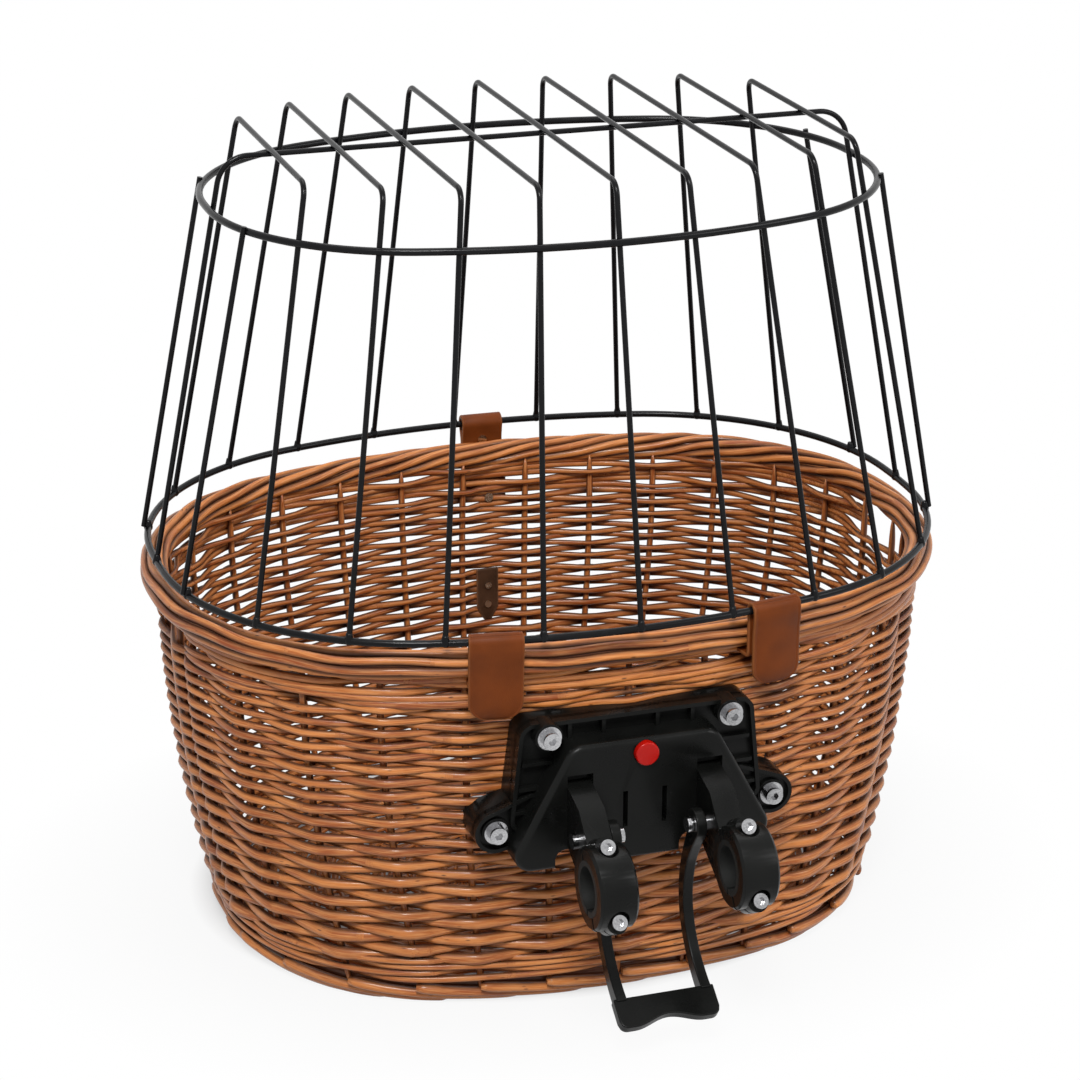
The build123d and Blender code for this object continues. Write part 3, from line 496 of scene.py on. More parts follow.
def bent_route(*runs, bend=STRAP_THICKNESS, step=0.0008):
    """One even route through the runs' points: corners become short curves, a quarter of each
    neighbour and a half of the corner, and the points are then spaced evenly along it."""
    corners = np.concatenate([np.atleast_2d(run) for run in runs])
    points = [corners[0]]
    for before, corner, after in zip(corners, corners[1:], corners[2:]):
        back, on = before - corner, after - corner
        reach = min(bend, 0.45 * np.linalg.norm(back), 0.45 * np.linalg.norm(on))
        first = corner + back / np.linalg.norm(back) * reach
        last = corner + on / np.linalg.norm(on) * reach
        share = np.linspace(0, 1, 6)[:, None]
        points.extend((1 - share) ** 2 * first + 2 * share * (1 - share) * corner + share**2 * last)
    points = np.array([*points, corners[-1]])
    length = lengths_along(points)
    even = np.linspace(0, length[-1], int(length[-1] / step))
    return np.stack([np.interp(even, length, points[:, axis]) for axis in range(2)], -1)


# Quarter of a strap's cut: distances in from its edge and down from its face, and how raw the hide is
CUT_IN = np.array([0, 0.25, 0.8, 1.6, 2.0, 2.4]) * MM
CUT_DOWN = np.array([0.75, 0.2, 0, 0, 0.22, 0]) * MM
CUT_RAW = np.array([1.0, 0.85, 0.1, 0, 0, 0])


def strap_piece(name, node, place, route, half_width, thickness=STRAP_THICKNESS, drift=0.0):
    """Leather strip that stands for a soft CAD solid: its cut, a rectangle with worn corners and a
    creased line near each edge, is carried along the route in the plane across the wire.

    A point is the route's, plus its width share along the wire, plus its thickness along the
    route's normal. Drift slants the strip sideways, by its drop below the wire. The place is the
    wire's centre, outward and along the wire.
    """
    origin, out, across = place
    ahead = np.gradient(route, axis=0)
    ahead /= np.linalg.norm(ahead, axis=1)[:, None]
    normal = np.stack([ahead[:, 1], -ahead[:, 0]], -1)
    half = np.broadcast_to(half_width, len(route))
    thick = np.full(len(route), thickness / 2)
    thick[[0, -1]] *= 0.75
    sign_x, sign_y = np.repeat([1, -1, -1, 1], 6), np.repeat([1, 1, -1, -1], 6)
    order = np.concatenate([np.arange(6), np.arange(6)[::-1]] * 2)
    wide = sign_x * (half[:, None] - CUT_IN[order]) + (drift * np.clip(-route[:, 1], 0, 1))[:, None]
    high = sign_y * (thick[:, None] - CUT_DOWN[order])
    flat = route[:, None, :] + high[..., None] * normal[:, None, :]
    points = origin + flat[..., :1] * out + flat[..., 1:] * np.array([0, 0, 1.0]) + wide[..., None] * across
    quads, caps = skin(points)
    piece = new_piece(name, points.reshape(-1, 3), quads.tolist() + caps, BODY_OF[node])
    attach(piece, "edge", np.tile(CUT_RAW[order], len(route)))
    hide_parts(node)
    return piece


def rounded_end(route, half_width, corner):
    """Half widths along a strip whose last corners are rounded to the radius."""
    left = lengths_along(route)
    left = np.clip(corner - (left[-1] - left), 0, corner)
    return half_width - corner + np.sqrt(corner**2 - left**2)


def break_edges(piece, width):
    """Small bevel on the sharp edges."""
    piece.data.set_sharp_from_angle(angle=SHARP)
    bevel = piece.modifiers.new("broken_edges", "BEVEL")
    bevel.width, bevel.segments, bevel.limit_method = width, 2, "ANGLE"
    bevel.angle_limit, bevel.harden_normals = SHARP, True


def moulding(name, node, width, material):
    """Copy of a moulded CAD node with its doubles merged and its sharp edges broken by a small bevel."""
    mesh = frame["nodes"][node].data.copy()
    work = bmesh.new()
    work.from_mesh(mesh)
    bmesh.ops.remove_doubles(work, verts=work.verts, dist=0.000002)
    bmesh.ops.dissolve_limit(work, angle_limit=math.radians(0.4), verts=work.verts, edges=work.edges)
    work.to_mesh(mesh)
    work.free()
    mesh.shade_smooth()
    mesh.materials.clear()
    mesh.materials.append(material)
    piece = in_scene(name, mesh)
    break_edges(piece, width)
    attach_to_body(piece, BODY_OF[node])
    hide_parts(node)
    return piece


# The front view of the bracket: origin, across, up and the way that depths count
FACE = (0, 0, 0), (1, 0, 0), (0, 0, 1), (0, 1, 0)


def hull_outline(circles):
    """Outline round some circles: in each direction, the point of the circle that reaches furthest."""
    angle = np.linspace(-0.5 * math.pi, 1.5 * math.pi, 200, endpoint=False) + 0.01
    way = np.stack([np.cos(angle), np.sin(angle)], -1)
    furthest = (circles[:, :2] @ way.T + circles[:, 2:]).argmax(0)
    return circles[furthest, :2] + circles[furthest, 2:] * way


def prism(outline, origin, across, up, deep, depths):
    """An outline at two depths: origin plus its two shares along across and up, plus the depth."""
    across, up, deep = (np.array(way, float) for way in (across, up, deep))
    flat = np.array(origin) + outline[:, :1] * across + outline[:, 1:] * up
    return np.stack([flat + depth * deep for depth in depths]), False


def solid_piece(name, node, parts, width):
    """One piece of several closed parts, with its sharp edges broken, that stands for a CAD node."""
    points, faces, count = [], [], 0
    for rings, closed in parts:
        quads, caps = skin(rings, closed)
        faces += (quads + count).tolist() + [[corner + count for corner in cap] for cap in caps]
        points.append(rings.reshape(-1, 3))
        count += rings.shape[0] * rings.shape[1]
    piece = new_piece(name, np.concatenate(points), faces, BODY_OF[node])
    break_edges(piece, width)
    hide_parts(node)
    return piece


# Shader tools
class Value:
    """A node's output, on which expressions add their Math nodes."""

    def __init__(self, nodes, socket):
        self.nodes, self.socket = nodes, socket

    def op(self, operation, a, b):
        return self.nodes.node("ShaderNodeMath", {"operation": operation}, {0: a, 1: b})

    def __add__(self, other):
        return self.op("ADD", self, other)

    def __sub__(self, other):
        return self.op("SUBTRACT", self, other)

    def __rsub__(self, other):
        return self.op("SUBTRACT", other, self)

    def __mul__(self, other):
        return self.op("MULTIPLY", self, other)

    def clamp(self):
        return self.op("MINIMUM", self.op("MAXIMUM", self, 0.0), 1.0)

    __radd__, __rmul__ = __add__, __mul__


class Nodes:
    """A node tree to which expressions and calls add their nodes."""

    def __init__(self, tree):
        self.tree = tree

    def node(self, kind, settings=None, sockets=None, output=0):
        """Adds a node: its settings come first, then its sockets' values or links."""
        made = self.tree.nodes.new(kind)
        for key, value in (settings or {}).items():
            setattr(made, key, value)
        for key, value in (sockets or {}).items():
            self.feed(made.inputs[key], value)
        return Value(self, made.outputs[output])

    def feed(self, socket, value):
        if isinstance(value, Value):
            self.tree.links.new(value.socket, socket)
        else:
            socket.default_value = (*value, 1.0) if socket.type == "RGBA" else value

    def attribute(self, name, output=2):
        return self.node("ShaderNodeAttribute", {"attribute_name": name}, output=output)

    def place(self):
        return self.node("ShaderNodeTexCoord", output=3)

    def stretch(self, vector, scale):
        return self.node("ShaderNodeVectorMath", {"operation": "MULTIPLY"}, {0: vector, 1: scale})

    def noise(self, vector, scale, detail=2.0):
        sockets = {"Vector": vector, "Scale": scale, "Detail": detail, "Roughness": 0.5}
        return self.node("ShaderNodeTexNoise", None, sockets)

    def ramp(self, value, low, high):
        return self.node("ShaderNodeMapRange", {"clamp": True}, {0: value, 1: low, 2: high})

    def mix(self, share, a, b):
        sockets = {0: share, 6: a, 7: b}
        return self.node("ShaderNodeMix", {"data_type": "RGBA"}, sockets, output=2)


class Finish(Nodes):
    """One procedural material built round a Principled shader."""

    def __init__(self, name, **settings):
        self.material = bpy.data.materials.new(name)
        self.material.use_nodes = True
        super().__init__(self.material.node_tree)
        self.shader = self.tree.nodes["Principled BSDF"]
        self.set(**settings)

    def set(self, **inputs):
        for key, value in inputs.items():
            self.feed(self.shader.inputs[key.replace("_", " ")], value)

    def bump(self, height, distance, strength):
        sockets = {"Height": height, "Distance": distance, "Strength": strength}
        self.set(Normal=self.node("ShaderNodeBump", None, sockets))


def willow_finish(looks):
    """Varnished willow: streaks run along each rod, knots are dots, and crevices are darker and redder, painted
    shade with some real stain.
    """
    made = bpy.data.materials.get("varnished_willow")
    if made:
        return made
    f = Finish("varnished_willow", Coat_Weight=0.32, Coat_Roughness=0.18, Specular_IOR_Level=0.25)
    grain = f.attribute("grain", output=1)
    tone = f.attribute("tone")
    crevice = f.attribute("crevice")
    streak = f.noise(f.stretch(grain, (60, 1500, 1500)), 1.0, 3.0)
    blotch = f.noise(f.stretch(grain, (28, 80, 80)), 1.0, 3.0)
    knots = f.node("ShaderNodeTexVoronoi", None, {"Vector": f.stretch(grain, (75, 260, 260)), "Scale": 1.0})
    knot = 1 - f.ramp(knots, 0.06, 0.15)
    light = f.mix(f.ramp(tone + (blotch - 0.5) * 1.3, 0.0, 1.0), looks.willow_dark, looks.willow_light)
    streaked = f.mix(f.ramp(streak, 0.43, 0.78) * 0.62, light, looks.willow_pale)
    reddened = f.mix(f.ramp(streak * 0.5 + blotch * 0.5, 0.5, 0.36) * 0.55, streaked, looks.willow_red)
    # The crevice mask paints shade between and behind rods in this dark colour; the random blotches add real stain
    stained_and_shaded = f.mix((crevice + f.ramp(blotch, 0.64, 0.8) * 0.2).clamp(), reddened, looks.willow_stain_and_shade)
    f.set(Base_Color=f.mix(knot * f.ramp(blotch, 0.48, 0.56) * 0.85, stained_and_shaded, looks.willow_knot))
    f.set(Roughness=0.3 + streak * 0.3 + crevice * 0.25)
    f.bump(streak * 0.6 + blotch * 0.4, 0.0004, 0.6)
    return f.material


def plain_finish(
    name, colour, roughness, grain_size=0.0008, grain_depth=0.00004, metallic=0.0, coat=0.0, vary=0.25, gloss=0.3
):
    """Moulded or plated surface: fine grain, with colour and gloss that vary a little in soft patches."""
    f = Finish(name, Metallic=metallic, Coat_Weight=coat, Coat_Roughness=0.15)
    f.set(Specular_IOR_Level=0.5 if metallic else gloss)
    place = f.place()
    fine = f.noise(place, 1.0 / grain_size, 2.0)
    soft = f.noise(place, 35.0, 3.0)
    darker = tuple(c * (1 - vary) for c in colour)
    lighter = tuple(min(1.0, c * (1 + vary)) for c in colour)
    f.set(Base_Color=f.mix(f.ramp(soft + (fine - 0.5) * 0.4, 0.3, 0.7), darker, lighter))
    f.set(Roughness=f.ramp(soft, -roughness, 2 - roughness) * (2 * roughness))
    f.bump(fine, grain_depth, 0.7)
    return f.material


def leather_finish(name, colour, dark, edge):
    """Bridle leather: a smooth face with fine pores and soft shade, and pale raw edges."""
    f = Finish(name, Coat_Roughness=0.35, Specular_IOR_Level=0.15)
    place = f.place()
    cell = f.node("ShaderNodeTexVoronoi", {"feature": "DISTANCE_TO_EDGE"}, {"Vector": place, "Scale": 1100.0})
    soft = f.noise(place, 60.0, 4.0)
    fine = f.noise(place, 900.0, 2.0)
    face = f.mix(f.ramp(soft, 0.3, 0.7), dark, colour)
    face = f.mix(f.attribute("edge") * (0.6 + fine * 0.6), face, edge)
    f.set(Base_Color=face, Roughness=0.42 + soft * 0.2)
    f.bump(f.ramp(cell, 0.0, 0.25) * 0.6 + fine * 0.4, 0.00012, 0.5)
    return f.material


def dress(node, material):
    """Gives a CAD node's own mesh its material."""
    data = frame["nodes"][node].data
    data.materials.clear()
    data.materials.append(material)


def length_setting(name, about, default, precision=4):
    return FloatProperty(name=name, description=about, default=default, unit="LENGTH", precision=precision)


def count_setting(name, about, default):
    return IntProperty(name=name, description=about, default=default)


def colour_setting(name, about, default):
    return FloatVectorProperty(name=name, description=about, subtype="COLOR", default=default)


# Sizes and colours that a user would change
class WeaveSettings(bpy.types.PropertyGroup):
    row_pitch: length_setting("Row pitch", "Height from one row of weavers to the next", 0.0039)
    weaver: length_setting("Weaver", "Half height of a weaver rod", 0.00205, 5)
    sway: length_setting("Sway", "How far a weaver swings in and out round the stakes", 0.0037)
    stake: length_setting("Stake", "Radius of an upright stake", 0.0021)
    front_spaces: count_setting("Front spaces", "Spaces between stakes from handle to handle in front", 12)
    back_spaces: count_setting("Back spaces", "Spaces between stakes from handle to handle behind", 14)
    border_strands: count_setting("Border strands", "Rods seen round the rim's border", 7)
    border_steps: count_setting("Border steps", "Strands that one round moves on by", 17)


class LooksSettings(bpy.types.PropertyGroup):
    willow_light: colour_setting("Light willow", "Colour of the palest rods", (0.64, 0.212, 0.046))
    willow_dark: colour_setting("Dark willow", "Colour of the darkest rods", (0.33, 0.080, 0.014))
    willow_pale: colour_setting("Streaks", "Colour of the pale streaks along a rod", (0.84, 0.41, 0.16))
    willow_red: colour_setting("Red bark", "Colour of the reddish patches", (0.26, 0.045, 0.008))
    # This colour paints the shade between and behind rods as well as their stain
    willow_stain_and_shade: colour_setting("Stain", "Colour of the stain between rods", (0.022, 0.005, 0.002))
    willow_knot: colour_setting("Knots", "Colour of the knots", (0.05, 0.013, 0.005))
    leather: colour_setting("Leather", "Colour of the straps' face", (0.168, 0.038, 0.006))
    raw_edge: colour_setting("Raw edge", "Colour of the straps' cut edges", (0.25, 0.085, 0.026))
    tab: colour_setting("Lead tab", "Colour of the lead tab", (0.075, 0.034, 0.017))
    plastic: colour_setting("Plastic", "Colour of the bracket", (0.0048, 0.005, 0.0046))
    button: colour_setting("Button", "Colour of the release button", (0.42, 0.005, 0.002))
    zinc: colour_setting("Zinc", "Colour of bolts and washers", (0.42, 0.42, 0.43))
    wire: colour_setting("Wire", "Colour of the cage's coating", (0.0045, 0.0045, 0.0052))


def stake_places(weave):
    """Distances of the stakes round the rim: even spaces in front and behind, and one in each handle."""
    places = []
    for hand in (-1, 1):
        end = [(hand * HANDLE_X, y) for y in (HOLE_FRONT - HANDLE_POST, HOLE_STAKE, HOLE_BACK + HANDLE_POST)]
        places.append([distance_at(x, y) for x, y in end])
    left, right = places
    left = [d - ROUND if d > ROUND / 2 else d for d in left]
    front = np.linspace(left[0], right[0], weave.front_spaces + 1)[1:-1]
    back = np.linspace(right[2], left[2] + ROUND, weave.back_spaces + 1)[1:-1]
    return np.sort(np.concatenate([left, front, right, back]))


def phase_of(distance, stakes):
    """Counts stakes along the round: whole at each stake, even between them."""
    knots = np.concatenate([stakes - ROUND, stakes, stakes + ROUND])
    return np.interp(distance, knots, np.arange(len(knots)) - len(stakes))


def zigzag(phase):
    """Wave of 1 at even stakes and -1 at odd ones: the arcsine of a cosine, whose runs are nearly
    straight and whose tips stay round because the cosine is a little under 1."""
    tip = 0.985
    return np.arcsin(tip * np.cos(math.pi * phase)) / math.asin(tip)


def wale(phase, period=4):
    """Wave that passes in front of three stakes and dips behind the fourth: 1 less twice a narrow bell."""
    off = np.abs(np.mod(phase + period / 2, period) - period / 2)
    return 1 - 2 * np.exp(-((off / 0.5) ** 2))


def tapers(rng, distance, rods=5):
    """Thickness of a row's rods: each thins from butt to tip and the next starts thick again."""
    cuts = np.sort(rng.uniform(0, ROUND, rods))
    share = np.mod(distance[:, None] - cuts[None], ROUND).min(1) * rods / ROUND
    return 1.08 - 0.15 * np.clip(share, 0, 1)


def tones(rng, distance, rods=5):
    """A tone for each point of a row: it changes where one rod ends and the next begins."""
    cuts = np.sort(rng.uniform(0, ROUND, rods))
    values = np.clip(rng.normal(0.55, 0.26, rods + 1), 0, 1)
    values[-1] = values[0]
    return values[np.searchsorted(cuts, np.mod(distance, ROUND))]


class BASKET_OT_weave(bpy.types.Operator):
    """Weave the wall: upright stakes with rows of weavers in front of and behind them in turn"""

    bl_idname = "dog_basket.weave"
    bl_label = "Weave the wall"

    def execute(self, context):
        weave, looks = context.scene.basket_weave, context.scene.basket_looks
        rng = np.random.default_rng(SEED)
        stakes = stake_places(weave)
        middle = weave.sway + STAKE_DEPTH
        pieces = [self.uprights(weave, rng, stakes, middle)]
        heights, level = [], FIRST_ROW
        while level < WALL_TOP + 0.001:
            heights.append(level)
            level += self.pitch(weave, level) * (1.0 if level < CLOSE_ROWS else CLOSE_SHARE)
        sag = rng.uniform(0, 2 * math.pi, 4)
        for name, (low, high) in BANDS.items():
            rods = Rods()
            for number, height in enumerate(heights):
                if low <= height < high:
                    self.row(rods, weave, rng, stakes, middle, sag, number, height)
            pieces.append(rods.make(name))
        for piece in pieces:
            piece.data.materials.append(willow_finish(looks))
        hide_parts("wicker_wall")
        return {"FINISHED"}

    def uprights(self, weave, rng, stakes, middle):
        """Stakes from the foot to the rim, each bent sideways by a slow sine of its height."""
        rods = Rods()
        for place in stakes:
            heights = np.linspace(UPRIGHT_LOW, WALL_TOP + 0.004, 40)
            lean = rng.normal(0, 0.0008)
            path, out = on_wall(place + lean * np.sin(heights * 18 + place * 9), heights, middle)
            side = np.cross((0, 0, 1), out)
            # Low tones and hide 0.35 darken the stakes: painted shade for stakes that sit in the weavers' shadow
            rods.add(path, out, weave.stake, weave.stake, rng.uniform(0.1, 0.5), 10, up=side, hide=0.35)
        return rods.make("stakes")

    def row(self, rods, weave, rng, stakes, middle, sag, number, height):
        """One row of weavers, in two runs where the handles break it.

        Its depth is the stakes' less its swing, its height is its level plus slow waves that it
        shares with the rows near it and quick ones of its own, and its thickness is its rods' taper
        times the row's pitch, a little more where it passes outside a stake and a little less on the
        basket's far side. The tone is darker on that side too: painted shade on the wall's inside.
        """
        runs = [None]
        if height > HOLE_LOW - HANDLE_ROOM:
            ends = [distance_at(hand * HANDLE_X, y) for hand in (-1, 1) for y in (HOLE_FRONT, HOLE_BACK)]
            runs = [(ends[0], ends[2]), (ends[3], ends[1])]
        waves = rng.uniform(0, 2 * math.pi, 5)
        offset = rng.normal(0, 0.00022)
        for run in runs:
            if run is None:
                distance = once_round(9 * len(stakes))
            else:
                distance = np.linspace(*run, int((run[1] - run[0]) / 0.005))
            phase = phase_of(distance, stakes) + number
            # hide darkens the half of a weaver that passes behind a stake: painted shade
            if height > WALE_LEVEL:
                swing = wale(phase)
                hide = np.clip(-swing, 0, 1)
            else:
                swing = zigzag(phase)
                hide = np.sign(-swing) * np.clip(1.5 * np.abs(swing) - 0.45, 0, 1)
            turn = 2 * math.pi * distance / ROUND
            behind = np.sin(turn - math.pi)
            swell = math.sin(math.pi * min(1, max(0, (height - SWELL_LOW) / (HOLE_LOW - SWELL_LOW))))
            slow = 0.0009 * np.sin(2 * turn + sag[0] + 9 * height) + 0.0006 * np.sin(5 * turn + sag[1] - 14 * height)
            quick = 0.00030 * np.sin(7 * turn + waves[0]) + 0.00022 * np.sin(17 * turn + waves[1])
            thick = weave.weaver * tapers(rng, distance) * (1 + 0.05 * np.sin(9 * turn + waves[2]))
            thick = thick * (self.pitch(weave, height) / weave.row_pitch) ** 0.92
            thick = thick * (1.04 - 0.07 * np.clip(behind, 0, 1)) * (1 + 0.2 * np.clip(swing, -1, 1))
            inward = middle - swing * weave.sway
            inward = inward - pressed(distance, height) * np.clip(inward - PRESSED_DEPTH, 0, 1)
            path, out = on_wall(distance, height + offset + slow * swell + quick, inward)
            # Painted shade: the far half's tone is lowered, for the wall's inside seen across the basket
            tone = tones(rng, distance) * (1 - 0.45 * np.clip(2 * behind, 0, 1))
            rods.add(path, out, 0.84 * thick, thick, tone, 10, run is None, hide=hide)

    def pitch(self, weave, level):
        """Height of a row at a level: even high up, and growing with the depth below the growth's top."""
        return weave.row_pitch + ROW_GROWTH * min(ROW_GROWTH_SPAN, max(0.0, ROW_GROWTH_TOP - level))


class BASKET_OT_borders(bpy.types.Operator):
    """Roll the rim's border, wale the wall's foot and lay the foot border"""

    bl_idname = "dog_basket.borders"
    bl_label = "Rim and foot borders"

    def execute(self, context):
        weave, looks = context.scene.basket_weave, context.scene.basket_looks
        rng = np.random.default_rng(SEED + 1)
        rim = self.rim(weave, rng)
        foot = self.foot(weave, rng)
        for piece in (rim, foot):
            piece.data.materials.append(willow_finish(looks))
        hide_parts("rim_border")
        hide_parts("foot_border")
        return {"FINISHED"}

    def rim(self, weave, rng):
        """Strands laid round the rim as one long rod that passes it once for each strand.

        A strand's angle round the border grows with the distance: fast behind, where it climbs over
        the rim from the inside, hardly at all in front, and the other way near the left handle.
        """
        strands, steps = weave.border_strands, weave.border_steps
        share = np.linspace(0, strands, RIM_POINTS * strands, endpoint=False)
        angle = angle_at(share * ROUND)
        x, y, c, s = oval(RIM_HALF_LENGTH + BORDER_OUTSET, RIM_HALF_WIDTH + BORDER_OUTSET, angle)
        out = np.stack([c, s, 0 * c], -1)
        upward = np.array([0, 0, 1.0])
        centre = np.stack([x, y + BASKET_Y, 0 * x + BORDER_HEIGHT + FLOOR_Z], -1)
        turn = 2 * math.pi * share
        beat = turn / strands
        around = turn * steps / strands + 3.4 * np.cos(turn) - 1.3 * np.sin(turn)
        around = around + 0.12 * np.sin(66 * beat + 1) + 0.08 * np.sin(154 * beat)
        radius = RIM_PATH + 0.0002 * np.sin(47 * beat + 2)
        lay = out * np.cos(around)[:, None] + upward * np.sin(around)[:, None]
        size = RIM_STRAND[1] * (1 + 0.06 * np.sin(84 * beat + 0.5))
        side = np.cross(lay, np.cross(out, upward))
        cuts = np.sort(rng.uniform(0, strands, 40))
        tone = np.clip(rng.normal(0.6, 0.24, 41), 0, 1)[np.searchsorted(cuts, share)]
        rods = Rods()
        core = slice(0, RIM_POINTS)
        # The core has tone 0 and hide 0.9: a dark rod painted as the shade in the gaps between strands
        rods.add(centre[core], out[core], *RIM_CORE, 0.0, sides=10, closed=True, hide=0.9)
        path = centre + lay * radius[:, None]
        rods.add(path, lay, RIM_STRAND[0], size, tone, sides=12, closed=True, up=side)
        return rods.make("rim_border_rods")

    def foot(self, weave, rng):
        """Waled rows that dip behind every fourth stake, over shingled foot rods that each start as a
        blunt end proud of a gap and sink to the floor as they run on. A core in the gap is painted dark as its
        shade."""
        stakes = stake_places(weave)
        rods = Rods()
        distance = once_round(7 * len(stakes))
        turn = 2 * math.pi * distance / ROUND
        for number in range(FOOT_ROWS):
            swing = wale(phase_of(distance, stakes) + 2 * number)
            level = FOOT_ROW_LOW + FOOT_ROW_PITCH * number + 0.0004 * np.sin(6 * turn + number)
            path, out = on_wall(distance, level, FOOT_ROW_DEPTH - FOOT_ROW_SWAY * swing)
            thick = FOOT_ROW_ROD * tapers(rng, distance)
            # hide darkens the half that dips behind a stake: painted shade
            rods.add(path, out, 0.9 * thick, thick, tones(rng, distance), 10, True, hide=np.clip(-swing, 0, 1))
        share = np.linspace(0, 1, 30)
        drop = 1 - (1 - share) ** 1.6
        for place in stakes:
            run = place + rng.normal(0, 0.002) + FOOT_ROD_RUN * share
            size = (FOOT_ROD - FOOT_ROD_TAPER * share) * rng.uniform(0.93, 1.05)
            level = np.maximum(FOOT_ROD_TOP - FOOT_ROD_DROP * drop, size)
            path, out = on_wall(run, level, FOOT_ROD_DEPTH + FOOT_ROD_SINK * drop)
            rods.add(path, out, size, size, np.clip(rng.normal(0.6, 0.2), 0, 1), 12, ends=FOOT_ROD_ENDS)
        # Core with tone 0 and hide 1: a dark rod painted as the shade in the gap behind the foot rods
        inner = once_round(120)
        path, out = on_wall(inner, 0 * inner + FOOT_CORE_PLACE[0], FOOT_CORE_PLACE[1])
        rods.add(path, out, *FOOT_CORE, 0.0, closed=True, hide=1.0)
        return rods.make("foot_border_rods")


class BASKET_OT_base(bpy.types.Operator):
    """Weave the base: sticks that reach in from the foot, with oval rounds over and under them"""

    bl_idname = "dog_basket.base"
    bl_label = "Base"

    def execute(self, context):
        weave, looks = context.scene.basket_weave, context.scene.basket_looks
        rng = np.random.default_rng(SEED + 2)
        stakes = stake_places(weave)
        rods = Rods()
        distance = once_round(6 * len(stakes))
        angle, phase = angle_at(distance), phase_of(distance, stakes)
        for number in range(BASE_ROUNDS):
            inset = BASE_EDGE + number * BASE_PITCH
            narrowed = BASE_HALF_WIDTH * max(1 - inset / BASE_HALF_WIDTH, 0.03)
            x, y, c, s = oval(BASE_HALF_LENGTH - inset, narrowed, angle)
            wave = BASE_WAVE * np.cos(math.pi * (phase + number))
            path = np.stack([x, y + BASKET_Y, BASE_LEVEL + wave], -1)
            out = np.stack([c, s, 0 * c], -1)
            rods.add(path, out, *BASE_ROD, rng.uniform(0.2, 0.8), sides=6, closed=True)
        x, y, _, _ = oval(BASE_HALF_LENGTH, BASE_HALF_WIDTH, angle_at(stakes))
        share = np.linspace(0, 1, 12)
        for end_x, end_y in zip(x, y):
            in_x = np.clip(end_x, -BASE_STICK_END, BASE_STICK_END)
            along_y = end_y * (1 - 0.97 * share) + BASKET_Y
            path = np.stack([end_x + (in_x - end_x) * share, along_y, BASE_LEVEL + 0 * share], -1)
            flat = path[-1] - path[0]
            across = np.cross(flat / np.linalg.norm(flat), (0, 0, 1.0))
            rods.add(path, across, *BASE_STICK, 0.3)
        run = np.linspace(-BASE_SPINE_HALF, BASE_SPINE_HALF, 30)
        for beside in BASE_SPINE_PLACES:
            path = np.stack([run, 0 * run + BASKET_Y + beside, 0 * run + BASE_LEVEL], -1)
            rods.add(path, (0, 1.0, 0), *BASE_SPINE, 0.4)
        piece = rods.make("base_weave")
        piece.data.materials.append(willow_finish(looks))
        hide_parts("wicker_base")
        return {"FINISHED"}


class BASKET_OT_cage(bpy.types.Operator):
    """Coat the cage's wires and add the fillets of its welds"""

    bl_idname = "dog_basket.cage"
    bl_label = "Wire cage"

    def execute(self, context):
        looks = context.scene.basket_looks
        coat = plain_finish("powder_coat", tuple(looks.wire), 0.3, 0.0015, 0.00005, gloss=0.14)
        for row in frame["record"]["subparts"]:
            if row["material_slot"] == "cage_wire":
                dress(row["node"], coat)
        self.welds().data.materials.append(coat)
        return {"FINISHED"}

    def welds(self):
        """Fillets at the wires' feet: short spindles, widest where the wire meets the ring."""
        feet = []
        for share in (*HOOP_FOOT_SHARES, *(-share for share in HOOP_FOOT_SHARES[1:])):
            foot_x = share * RING_HALF_LENGTH
            foot_y = oval_y(foot_x, RING_HALF_LENGTH, RING_HALF_WIDTH)
            feet += [(foot_x, foot_y), (foot_x, -foot_y)]
        end_x = oval_x(END_WIRE_PLACE, RING_HALF_LENGTH, RING_HALF_WIDTH)
        feet += [(hand * end_x, place) for hand in (-1, 1) for place in (-END_WIRE_PLACE, END_WIRE_PLACE)]
        feet += [(-RING_HALF_LENGTH, 0), (RING_HALF_LENGTH, 0)]
        rods = Rods()
        rise, radius = np.array(WELD_RISE) * MM, np.array(WELD_RADIUS) * MM
        for x, y in feet:
            at_end = abs(y) < END_WIRE_PLACE + 0.004
            upward = np.array([-x * WELD_LEAN[0] * at_end, -y * WELD_LEAN[1], 1.0])
            path = np.array([x, y + BASKET_Y, RING_HEIGHT + FLOOR_Z]) + rise[:, None] * upward
            rods.add(path, (0, 1.0, 0), radius, radius, 0.0, sides=12, up=(1.0, 0, 0), ends=())
        return rods.make("cage_welds", "cage")


